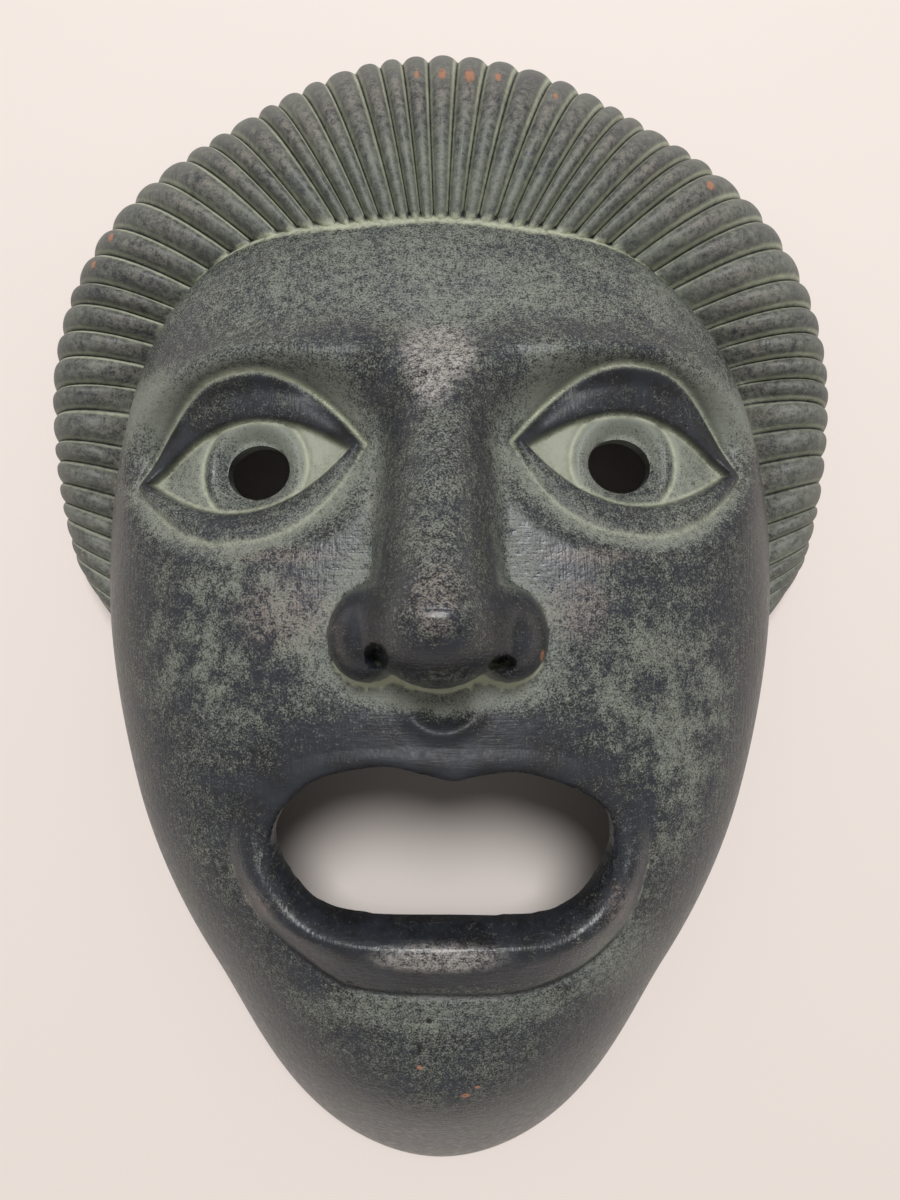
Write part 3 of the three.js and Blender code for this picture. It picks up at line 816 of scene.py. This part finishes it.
def hair_solid():
    edges = LOCK_EDGES
    step = np.arange(LOCK_COUNT * FACETS_PER_LOCK + 1)
    lock = np.minimum(step // FACETS_PER_LOCK, LOCK_COUNT - 1)
    within = (step - lock * FACETS_PER_LOCK) / FACETS_PER_LOCK
    degrees = lerp(edges[lock], edges[lock + 1], within)[None, :]
    across = np.abs(2 * within - 1)[None, :]
    down = np.linspace(0, 1, BAND_ROWS + 1)[:, None] ** ROW_CROWDING
    share = arch_share(degrees)
    fade_start = lerp(SIDE_GROOVE_END, TOP_GROOVE_END, share)
    fading = smoothstep(down, fade_start, fade_start + GROOVE_END_SPAN)
    inner_fade = lerp(1, TOP_GROOVE_LOSS, share) * fading
    presence = smoothstep(from_hair_end(degrees), *LOCK_FADE) * (1 - inner_fade)
    cut = across**LOCK_GROOVE_POWER * presence
    inward = band_width(degrees) * down + LOCK_SCALLOP * cut
    x, y = hair_place(degrees, inward)
    z = np.maximum(hair_height(degrees, inward) - LOCK_DEPTH * cut, LEAST_HAIR_Z)
    return grid_solid("hair_body", x, y, z, 0)


def hair_cavity():
    margin = math.degrees(END_WALL_SLANT * WALL / HAIR_HALF_WIDTH)
    degrees = np.linspace(HAIR_START + margin, HAIR_END - margin, HAIR_CAVITY_COLUMNS + 1)[None, :]
    start = WALL + LOCK_SCALLOP
    down = np.linspace(0, 1, HAIR_CAVITY_ROWS + 1)[:, None]
    inward = lerp(start, band_width(degrees) + HAIR_CAVITY_OVERLAP, down)
    x, y = hair_place(degrees, inward)
    outer = hair_height(degrees, inward - WALL) + WALL / 2
    surface = np.minimum(hair_height(degrees, inward), outer)
    least_z = np.where(inward > band_width(degrees) / 2, HAIR_CAVITY_LEAST_Z, -CUT_PAST / 2)
    ceiling = np.maximum(surface - WALL - LOCK_DEPTH / 2, least_z)
    return grid_solid("hair_cavity", x, y, ceiling, -CUT_PAST)


def prism(name, x, y):
    """Upright prism through the whole mask over a closed outline."""
    count = len(x)
    low = np.stack([x, y, np.full(count, -CUT_PAST)], axis=1)
    high = np.stack([x, y, np.full(count, NOSE_TIP_Z + CUT_PAST)], axis=1)
    index = np.arange(count)
    after = np.roll(index, -1)
    sides = np.stack([index, after, after + count, index + count], axis=1)
    faces = sides.tolist() + [index[::-1].tolist(), (index + count).tolist()]
    mesh = bpy.data.meshes.new(name)
    mesh.from_pydata(np.concatenate([low, high]).tolist(), [], faces)
    mesh.update()
    body = bpy.data.objects.new(name, mesh)
    bpy.context.scene.collection.objects.link(body)
    return body


def mouth_cutter():
    return prism("mouth_cutter", MOUTH_CURVE[:, 0], MOUTH_CURVE[:, 1])


def pupil_cutter(side):
    angle = np.linspace(0, 2 * math.pi, PUPIL_STEPS, endpoint=False)
    x = side * PUPIL_X + PUPIL_RADIUS_X * np.cos(angle)
    y = PUPIL_Y + EYE_TILT * side * PUPIL_X + PUPIL_RADIUS_Y * np.sin(angle)
    return prism("pupil_cutter", x, y)


def apply_modifiers(body):
    depsgraph = bpy.context.evaluated_depsgraph_get()
    mesh = bpy.data.meshes.new_from_object(body.evaluated_get(depsgraph))
    body.modifiers.clear()
    old = body.data
    body.data = mesh
    bpy.data.meshes.remove(old)


def combine(body, tool, operation):
    boolean = body.modifiers.new("combine", "BOOLEAN")
    boolean.operation = operation
    boolean.solver = "MANIFOLD"
    boolean.object = tool
    apply_modifiers(body)
    tool_mesh = tool.data
    bpy.data.objects.remove(tool)
    bpy.data.meshes.remove(tool_mesh)


def triangle_count(body):
    body.data.calc_loop_triangles()
    return len(body.data.loop_triangles)


def thin_out(body):
    """Fewer triangles where the surface is smooth."""
    count = triangle_count(body)
    if count > MOST_TRIANGLES:
        decimate = body.modifiers.new("thin_out", "DECIMATE")
        decimate.ratio = MOST_TRIANGLES / count
        apply_modifiers(body)


def make_mask():
    body = face_solid()
    combine(body, hair_solid(), "UNION")
    cavity = face_cavity()
    combine(cavity, hair_cavity(), "UNION")
    combine(body, cavity, "DIFFERENCE")
    combine(body, mouth_cutter(), "DIFFERENCE")
    for side in (-1, 1):
        combine(body, pupil_cutter(side), "DIFFERENCE")
    thin_out(body)
    body.data.transform(Matrix.Translation((0, -MIDDLE_Y, 0)))
    body.name = "mask_shell"
    body.data.name = "mask_shell"
    return body


class Term:
    """Shader value that can be added, multiplied and so on with plain operators."""

    tree = None

    def __init__(self, socket):
        self.socket = socket

    @staticmethod
    def calculate(operation, *values):
        node = Term.tree.nodes.new("ShaderNodeMath")
        node.operation = operation
        for index, value in enumerate(values):
            if isinstance(value, Term):
                Term.tree.links.new(value.socket, node.inputs[index])
            else:
                node.inputs[index].default_value = value
        return Term(node.outputs[0])

    def __add__(self, other):
        return Term.calculate("ADD", self, other)

    __radd__ = __add__

    def __sub__(self, other):
        return Term.calculate("SUBTRACT", self, other)

    def __rsub__(self, other):
        return Term.calculate("SUBTRACT", other, self)

    def __mul__(self, other):
        return Term.calculate("MULTIPLY", self, other)

    __rmul__ = __mul__

    def __truediv__(self, other):
        return Term.calculate("DIVIDE", self, other)

    def __pow__(self, other):
        return Term.calculate("POWER", self, other)

    def __abs__(self):
        return Term.calculate("ABSOLUTE", self)

    def highest(self, other):
        return Term.calculate("MAXIMUM", self, other)

    def length_with(self, other):
        return (self * self + other * other) ** 0.5

    def fraction(self):
        return Term.calculate("FRACT", self)

    def whole(self):
        return Term.calculate("FLOOR", self)

    def hump(self, width):
        """1 at zero, falling off smoothly on both sides."""
        share = self / width
        return Term.calculate("EXPONENT", share * share * -1.0)

    def step(self, low, high):
        """Smooth rise from 0 at low to 1 at high."""
        node = Term.tree.nodes.new("ShaderNodeMapRange")
        node.interpolation_type = "SMOOTHSTEP"
        node.inputs["From Min"].default_value = low
        node.inputs["From Max"].default_value = high
        Term.tree.links.new(self.socket, node.inputs["Value"])
        return Term(node.outputs["Result"])


def read_attribute(name):
    node = Term.tree.nodes.new("ShaderNodeAttribute")
    node.attribute_name = name
    return Term(node.outputs["Fac"])


def join_vector(x, y, z):
    node = Term.tree.nodes.new("ShaderNodeCombineXYZ")
    for socket, value in zip(node.inputs, (x, y, z)):
        if isinstance(value, Term):
            Term.tree.links.new(value.socket, socket)
        else:
            socket.default_value = value
    return node.outputs[0]


def noise(vector, grain, detail=2.0, roughness=0.5):
    """Noise with features about as large as the grain, round a mean of a half."""
    node = Term.tree.nodes.new("ShaderNodeTexNoise")
    Term.tree.links.new(vector, node.inputs["Vector"])
    node.inputs["Scale"].default_value = 1 / grain
    node.inputs["Detail"].default_value = detail
    node.inputs["Roughness"].default_value = roughness
    return Term(node.outputs["Fac"])


def mix_colour(share, first, second):
    node = Term.tree.nodes.new("ShaderNodeMix")
    node.data_type = "RGBA"
    Term.tree.links.new(share.socket, node.inputs["Factor"])
    for name, colour in (("A", first), ("B", second)):
        socket = [s for s in node.inputs if s.name == name and s.type == "RGBA"][0]
        if isinstance(colour, tuple):
            socket.default_value = (*colour, 1)
        else:
            Term.tree.links.new(colour, socket)
    return [s for s in node.outputs if s.type == "RGBA"][0]


def almond_line(along, across, half_length, upper, lower, power=ALMOND_POWER):
    """The same distance as almond_distance, as a shader value."""
    above = across.step(-0.01 * MM, 0.01 * MM)
    height = above * (upper - lower) + lower
    share = abs(along) / half_length
    measure = share**power + abs(across) / height
    steepness = share ** (power - 1) * (power / half_length)
    return (measure - 1) / steepness.length_with(Term.calculate("DIVIDE", 1, height))


def eye_lines(x, y, waver):
    """Pale fill in the lid creases, along the lid edges and in the iris groove."""
    dx = abs(x) - EYE_X
    dy = y - EYE_Y - x * EYE_TILT
    along = dx * math.cos(EYE_DROOP) - dy * math.sin(EYE_DROOP)
    across = dx * math.sin(EYE_DROOP) + dy * math.cos(EYE_DROOP)
    inner = almond_line(along, across, EYE_HALF_LENGTH, EYE_UPPER, EYE_LOWER) + LID_EDGE
    outer = almond_line(along, across, LID_HALF_LENGTH, LID_UPPER, LID_LOWER, LID_POWER)
    in_eye = 1 - inner.step(-0.5 * MM, 0.5 * MM)
    iris = (abs(x) - IRIS_X).length_with(y - IRIS_Y - x * EYE_TILT)
    on_iris = (1 - iris.step(IRIS_RADIUS - 1.5 * MM, IRIS_RADIUS)) * in_eye
    wavering = waver * MM
    nearer_nose = 1 - along.step(-10 * MM, 16 * MM)
    edges = (inner + wavering).hump(EYE_LINE_WIDTH) * 0.75
    upper_crease = (outer + wavering).hump(EYE_LINE_WIDTH) * across.step(-6 * MM, 4 * MM)
    crease = upper_crease * (0.45 + nearer_nose * 0.5)
    lower_wash = (outer - 1.2 * MM).hump(2 * MM) * (1 - across.step(-6 * MM, 4 * MM)) * 0.5
    lower_line = (outer + wavering * 2).hump(EYE_LINE_WIDTH * 1.4)
    lower_line = lower_line * (1 - across.step(-8 * MM, -2 * MM)) * 0.4
    groove = (iris - IRIS_RADIUS).hump(EYE_LINE_WIDTH * 1.2) * in_eye * 0.75
    corner = abs(along).step(EYE_HALF_LENGTH - 6 * MM, EYE_HALF_LENGTH) * in_eye * 0.7
    lines = edges.highest(crease).highest(groove).highest(corner).highest(lower_line)
    on_lid = inner.step(0.0, 0.8 * MM) * (1 - outer.step(-1.5 * MM, 0.0))
    lines = lines.highest((in_eye - on_iris) * (0.12 + nearer_nose * 0.36))
    wash = in_eye * (0.5 + nearer_nose * 0.3) - on_iris * 0.35 + lower_wash
    wash = wash - on_lid * (across.step(-4 * MM, 4 * MM) * 1.05 - 0.1)
    return lines, wash, on_lid


def spot(x, y, place):
    spot_x, spot_y, radius_x, radius_y = (value * MM for value in place)
    measure = ((x - spot_x) / radius_x).length_with((y - spot_y) / radius_y)
    return 1 - measure.step(*SPOT_EDGE)


def spots(x, y, places):
    """The strongest of several spots at each place."""
    strongest = spot(x, y, places[0])
    for place in places[1:]:
        strongest = strongest.highest(spot(x, y, place))
    return strongest


def lock_mark(degrees, inward, radius_x, radius_y):
    """Mark in millimetres in the middle of the lock that runs nearest to a direction."""
    middles = (LOCK_EDGES[:-1] + LOCK_EDGES[1:]) / 2
    nearest = middles[np.argmin(np.abs(middles - degrees))]
    x, y = hair_place(nearest, inward * MM)
    return float(x / MM), float(y / MM), radius_x, radius_y


def patina_material():
    material = bpy.data.materials.new("patinated_clay")
    material.use_nodes = True
    tree = material.node_tree
    Term.tree = tree
    shader = tree.nodes["Principled BSDF"]
    place = tree.nodes.new("ShaderNodeTexCoord").outputs["Object"]
    split = tree.nodes.new("ShaderNodeSeparateXYZ")
    tree.links.new(place, split.inputs[0])
    x = Term(split.outputs["X"])
    y = Term(split.outputs["Y"]) + MIDDLE_Y
    z = Term(split.outputs["Z"])

    crease = read_attribute("crease")
    hollow = read_attribute("hollow")
    lock = read_attribute("lock")
    inward = read_attribute("inward")
    hair = read_attribute("hair").step(0.35, 0.65)

    fine = noise(place, FINE_GRAIN, 1.0, 0.6)
    grain = noise(place, SPECK_GRAIN, 2.0, 0.7)
    blotch = noise(place, BLOTCH_GRAIN, 4.0, 0.6)
    cloud = noise(place, CLOUD_GRAIN, 2.0, 0.5)
    upright = noise(join_vector(x * BRUSH_STRETCH, y, z), BRUSH_GRAIN, 1.0, 0.6)
    level = noise(join_vector(x, y * BRUSH_STRETCH, z), BRUSH_GRAIN, 1.0, 0.6)
    along_lock = join_vector(lock * BRUSH_STRETCH * MM, inward * STRAND_STRETCH, 0.0)
    strand = noise(along_lock, STRAND_GRAIN, 1.0, 0.6)

    within = lock.fraction()
    across = abs(within * 2.0 - 1.0)
    lock_tone = noise(join_vector(lock.whole() * LOCK_TONE_STRIDE, 0.0, 0.0), LOCK_TONE_GRAIN)
    low_side = 1 - y.step(*LOW_SIDE_FADE)
    lit_edge = (within - LOCK_EDGE).hump(LOCK_EDGE_WIDTH)
    far_edge = (within - FAR_LOCK_EDGE).hump(FAR_LOCK_EDGE_WIDTH)
    lit_edge = lit_edge + far_edge * FAR_LOCK_EDGE_SHARE
    groove = lit_edge * hair * (1 - low_side * 0.5) * (0.4 + strand * 0.9)
    # Painted shade deep in the slits between locks
    slit_shade = across.step(*SLIT_SHADE_RISE) * hair
    # Painted shade in the crease under the lower lip
    lip_crease_shade = read_attribute("lip_crease_shade")
    lines, wash, on_lid = eye_lines(x, y, (blotch - 0.5) * 0.5)
    skin = 1 - hair

    # How much pale green lies on the dark coat
    patchy = blotch.step(*PATCHY)
    forehead = (y - FOREHEAD_Y).hump(FOREHEAD_SPREAD)
    right_cheek = spot(x, y, RIGHT_CHEEK) * patchy
    # Pale film on the left cheek, partly patina and partly a painted highlight
    left_cheek_film_and_highlight = spot(x, y, LEFT_CHEEK_FILM_AND_HIGHLIGHT) * patchy
    under_nose = spot(x, y, UNDER_NOSE)
    chin_band = spots(x, y, CHIN_BAND)
    lips = spot(x, y, LIPS) * (1 - chin_band)
    wings = spot(abs(x), y, WING).highest(spot(x, y, NOSE_TIP))
    bridge = spot(x, y, BRIDGE)
    under_brow = (y - UNDER_BROW_Y).hump(UNDER_BROW_SPREAD) * abs(x).step(*UNDER_BROW_SIDE)
    brow_crest = (y - CREST_Y).hump(CREST_SPREAD) * abs(x).step(*CREST_SIDE)
    amount = wash + FILM_BASE + (cloud - 0.5) * FILM_BY_CLOUD
    amount = amount + hollow.highest(LEAST_HOLLOW) * FILM_BY_HOLLOW
    for part, film_there in (
        (brow_crest, FILM_CREST), (forehead, FILM_FOREHEAD), (under_brow, FILM_UNDER_BROW),
        (right_cheek, FILM_RIGHT_CHEEK), (left_cheek_film_and_highlight, FILM_AND_HIGHLIGHT_LEFT_CHEEK), (bridge, FILM_BRIDGE),
        (under_nose, FILM_UNDER_NOSE), (chin_band, FILM_CHIN_BAND), (lips, FILM_LIPS),
        (wings, FILM_WINGS),
    ):
        amount = amount + part * film_there
    hair_film = lock_tone * HAIR_FILM_BY_LOCK + inward.step(*HAIR_FILM_RISE) * HAIR_FILM_INWARD
    amount = amount * skin + hair * (hair_film + HAIR_FILM)
    upper_lip = lips * y.step(*UPPER_LIP_RISE)
    amount = amount + upper_lip * FILM_UPPER_LIP
    speckle = (fine - 0.5) * (skin * SPECKLE["fine_skin"] + SPECKLE["fine"])
    speckle = speckle + (grain - 0.5) * SPECKLE["grain"] + (blotch - 0.5) * SPECKLE["blotch"]
    film = (amount + speckle * SPECKLE["all"]).step(*FILM_RISE)
    in_crease = (crease + (grain - 0.5) * CREASE_SPECKLE).step(*CREASE_RISE)
    filled_lines = lines * skin * (0.2 + grain + fine * 0.3)
    in_crease = in_crease.highest(filled_lines).highest(groove * (0.5 + grain))

    # Colours, from the coat outward
    side = abs(x).step(*SIDE_RISE).highest(1 - z.step(*RIM_RISE))
    brown = side * (0.2 + upright * 0.5) * (skin + low_side * 0.7).highest(0.1)
    coat = mix_colour(blotch.step(*COAT_PATCHES), COAT_BLUE, COAT_AND_SHADE_BLACK)
    coat = mix_colour(brown, coat, SIDE_BROWN)
    worn = mix_colour(film, coat, FILM_GREEN)
    filled = mix_colour(in_crease, worn, CREASE_GREEN)
    # Painted shade: the slits between locks and the crease under the lower lip are darkened toward
    # black
    shaded = (slit_shade * SLIT_SHADE).highest(lip_crease_shade * LIP_CREASE_SHADE_STRENGTH)
    darkened = mix_colour(shaded, filled, COAT_AND_SHADE_BLACK)
    specks = grain + fine - 0.5
    # Painted grey highlights between the brows and along the lower lip
    grey_highlight_share = spots(x, y, GREY_HIGHLIGHT_PLACES) * specks.step(*GREY_HIGHLIGHT_SPECKS) * GREY_HIGHLIGHT_SHARE
    grey_highlighted = mix_colour(grey_highlight_share, darkened, HIGHLIGHT_GREY)
    # Painted pink highlights on the nose tip, cheeks, mouth corners, below the eyes and along the
    # lock crests
    lock_highlight = (inward - LOCK_HIGHLIGHT_IN).hump(LOCK_HIGHLIGHT_SPREAD) * hair * (1 - across) * lock_tone * 2.0
    pink_highlight_place = spots(x, y, PINK_HIGHLIGHT_PLACES).highest(lock_highlight)
    pink_highlighted = mix_colour(pink_highlight_place * specks.step(*PINK_HIGHLIGHT_SPECKS) * PINK_HIGHLIGHT_SHARE, grey_highlighted, HIGHLIGHT_PINK)
    bare = spots(x, y, BARE_SPOTS + tuple(lock_mark(*end) for end in BARE_LOCKS))
    bare_share = bare * (grain + fine * 0.5).step(*BARE_SPECKS)
    bared = mix_colour(bare_share, pink_highlighted, BARE_CLAY)
    pitted = spots(x, y, DARK_PITS)
    colour = mix_colour(pitted, bared, COAT_AND_SHADE_BLACK)
    tree.links.new(colour, shader.inputs["Base Color"])

    rough = COAT_ROUGHNESS + film * 0.22 + in_crease * 0.25 + (grain - 0.5) * 0.4
    rough = rough + upper_lip * 0.25 + on_lid * 0.15 + hair * 0.08
    tree.links.new(rough.socket, shader.inputs["Roughness"])
    shader.inputs["IOR"].default_value = 1.5

    at_side = abs(x).step(*BRUSH_TURN)
    brushed = upright * at_side + level * (1 - at_side)
    height = grain * 0.7 + brushed * 0.5 + strand * hair * 0.5 - pitted * 1.5
    bump_node = tree.nodes.new("ShaderNodeBump")
    bump_node.inputs["Strength"].default_value = BUMP_STRENGTH
    bump_node.inputs["Distance"].default_value = BUMP_DISTANCE
    tree.links.new(height.socket, bump_node.inputs["Height"])
    tree.links.new(bump_node.outputs["Normal"], shader.inputs["Normal"])
    return material


def keep_in_box(body):
    """Draws in what the finer facets let stand a hair's breadth outside the CAD model."""
    coordinates = np.empty(len(body.data.vertices) * 3)
    body.data.vertices.foreach_get("co", coordinates)
    points = np.clip(coordinates.reshape(-1, 3), *CAD_BOX)
    body.data.vertices.foreach_set("co", points.ravel())
    body.data.update()


def concavity(x, y, reach):
    """How far the face lies below the mean of the places round it."""
    total = 0
    for step in range(PROBE_STEPS):
        angle = step * 2 * math.pi / PROBE_STEPS
        total = total + face_height(x + reach * math.cos(angle), y + reach * math.sin(angle))
    return total / PROBE_STEPS - face_height(x, y)


def find_lock(x, y):
    """Lock number with the share across it, and how far inward from the hair's outline."""
    steps = np.linspace(HAIR_START, HAIR_END, LOCK_SEARCH_STEPS)
    angle = np.radians(steps)
    run = np.radians(lock_direction(steps))
    start_x = hair_radius(steps) * np.cos(angle)
    start_y = HAIR_CENTRE_Y + hair_radius(steps) * np.sin(angle)
    degrees = np.full(len(x), HAIR_END, float)
    best = np.full(len(x), np.inf)
    inward = np.zeros(len(x))
    for index in range(len(steps) - 1):
        off = []
        for end in (index, index + 1):
            dx, dy = x - start_x[end], y - start_y[end]
            off.append(dx * math.sin(run[end]) - dy * math.cos(run[end]))
        share = off[0] / np.where(off[0] == off[1], 1, off[0] - off[1])
        dx = start_x[index] - x
        dy = start_y[index] - y
        reach = dx * math.cos(run[index]) + dy * math.sin(run[index])
        hit = (share >= 0) & (share <= 1) & (reach > -LOCK_SEARCH_MARGIN)
        hit &= np.abs(reach) < best
        degrees[hit] = lerp(steps[index], steps[index + 1], share[hit])
        best[hit] = np.abs(reach[hit])
        inward[hit] = reach[hit]
    lock = np.interp(degrees, LOCK_EDGES, np.arange(LOCK_COUNT + 1))
    return lock, inward - end_trim(degrees), degrees


def note_surface(body):
    """Keeps for the material what is crease, hollow or hair at each vertex."""
    mesh = body.data
    count = len(mesh.vertices)
    points = np.empty(count * 3)
    mesh.vertices.foreach_get("co", points)
    points = points.reshape(-1, 3)
    normals = np.empty(count * 3)
    mesh.vertex_normals.foreach_get("vector", normals)
    normals = normals.reshape(-1, 3)

    x, y, z = points[:, 0], points[:, 1] + MIDDLE_Y, points[:, 2]
    lock, inward, degrees = find_lock(x, y)
    measure = face_measure(x, y)
    front = face_height(x, y)
    outside = measure > OUTSIDE_FACE
    in_hair = (outside | (z > front + ABOVE_FRONT)) & (normals[:, 2] > FACING_DOWN) & (y > 0)
    beside = np.maximum(measure - 1, 0) * FACE_HALF_WIDTH
    off_face = np.hypot(beside, np.maximum(z - front, 0))
    off_hair = np.where(inward < band_width(degrees), z - hair_height(degrees, inward), 1)
    seam = bump(np.where(in_hair, off_face, off_hair), SEAM_WIDTH)
    seam = seam * smoothstep(y, LOWEST_HAIR_Y - SEAM_WIDTH, LOWEST_HAIR_Y + SEAM_WIDTH)
    on_front = (np.abs(z - front) < ON_FRONT) & (measure < INSIDE_FACE)
    crease = concavity(x, y, CREASE_REACH) / CREASE_FULL
    along, across = eye_place(x, y)
    lid = almond_distance(along, across, LID_HALF_LENGTH, LID_UPPER, LID_LOWER, LID_POWER)
    on_nose = (1 - smoothstep(np.abs(x), *NOSE_SIDE_FADE)) * smoothstep(y, *NOSE_BASE_FADE)
    on_upper_lip = smoothstep(y, *UPPER_LIP_FADE) * (y < UPPER_LIP_TOP)
    crease = crease * smoothstep(lid, *LID_CREASE_START) * (1 - on_nose) * (1 - on_upper_lip)
    from_mouth = smoothstep(outline_measure(MOUTH_CURVE, x, y), *MOUTH_EDGE_FADE)
    crease = crease * from_mouth * (1 - lip_crease(x, y))
    hollow = sum(concavity(x, y, reach) for reach in HOLLOW_REACHES) / HOLLOW_FULL
    hollow = hollow * from_mouth * smoothstep(lid, *LID_HOLLOW_START)
    found = {
        "crease": np.maximum(np.where(on_front & ~in_hair, crease, 0), seam),
        "hollow": np.where(on_front & ~in_hair, hollow, 0),
        "hair": in_hair.astype(float),
        # Where shade is painted in the crease under the lower lip
        "lip_crease_shade": np.where(on_front, lip_crease(x, y), 0),
        "lock": lock,
        "inward": inward,
    }
    for name, values in found.items():
        if name in ("crease", "hollow"):
            values = np.clip(values, -NOTE_LIMIT, NOTE_LIMIT)
        attribute = mesh.attributes.new(name, "FLOAT", "POINT")
        attribute.data.foreach_set("value", values.astype(np.float32))


def make_floor():
    mesh = bpy.data.meshes.new("floor")
    half = FLOOR_HALF_SIZE
    corners = [(-half, -half, 0), (half, -half, 0), (half, half, 0), (-half, half, 0)]
    mesh.from_pydata(corners, [], [(0, 1, 2, 3)])
    floor = bpy.data.objects.new("floor", mesh)
    bpy.context.scene.collection.objects.link(floor)
    material = bpy.data.materials.new("pale_floor")
    material.use_nodes = True
    shader = material.node_tree.nodes["Principled BSDF"]
    shader.inputs["Base Color"].default_value = FLOOR_COLOUR
    shader.inputs["Roughness"].default_value = FLOOR_ROUGHNESS
    mesh.materials.append(material)
    floor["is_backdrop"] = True


def make_light(name, place, aim, size, power):
    data = bpy.data.lights.new(name, "AREA")
    data.shape = "DISK"
    data.size = size
    data.energy = power
    light = bpy.data.objects.new(name, data)
    light.location = place
    direction = Vector(aim) - Vector(place)
    light.rotation_euler = direction.to_track_quat("-Z", "Y").to_euler()
    bpy.context.scene.collection.objects.link(light)


def make_camera():
    data = bpy.data.cameras.new("camera")
    data.sensor_width = SENSOR_LONG_SIDE
    data.lens = FOCAL_PIXELS / PHOTO_LONG_SIDE * SENSOR_LONG_SIDE
    data.clip_start = CLIP_START
    camera = bpy.data.objects.new("camera", data)
    camera.location = (CAMERA_X, CAMERA_Y, CAMERA_Z)
    bpy.context.scene.collection.objects.link(camera)
    bpy.context.scene.camera = camera


def make_world():
    world = bpy.data.worlds.new("studio")
    bpy.context.scene.world = world
    world.use_nodes = True
    background = world.node_tree.nodes["Background"]
    background.inputs["Color"].default_value = ROOM_COLOUR
    background.inputs["Strength"].default_value = ROOM_STRENGTH
    bpy.context.scene.view_settings.view_transform = "Standard"


make_camera()
make_world()
make_floor()
make_light("key", LIGHT_PLACE, LIGHT_AIM, LIGHT_SIZE, LIGHT_POWER)

mask = make_mask()
mask.data.materials.clear()
keep_in_box(mask)
mask.data.materials.append(patina_material())
mask.data.shade_smooth()
mask.data.set_sharp_from_angle(angle=SHARP_ANGLE)
note_surface(mask)
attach(mask, "root")
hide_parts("mask")

({
        "cad": [list(corner) for corner in CAD_BOX],
        "visual": [list(corner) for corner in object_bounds()],
        "triangles": triangle_count(mask),
    })
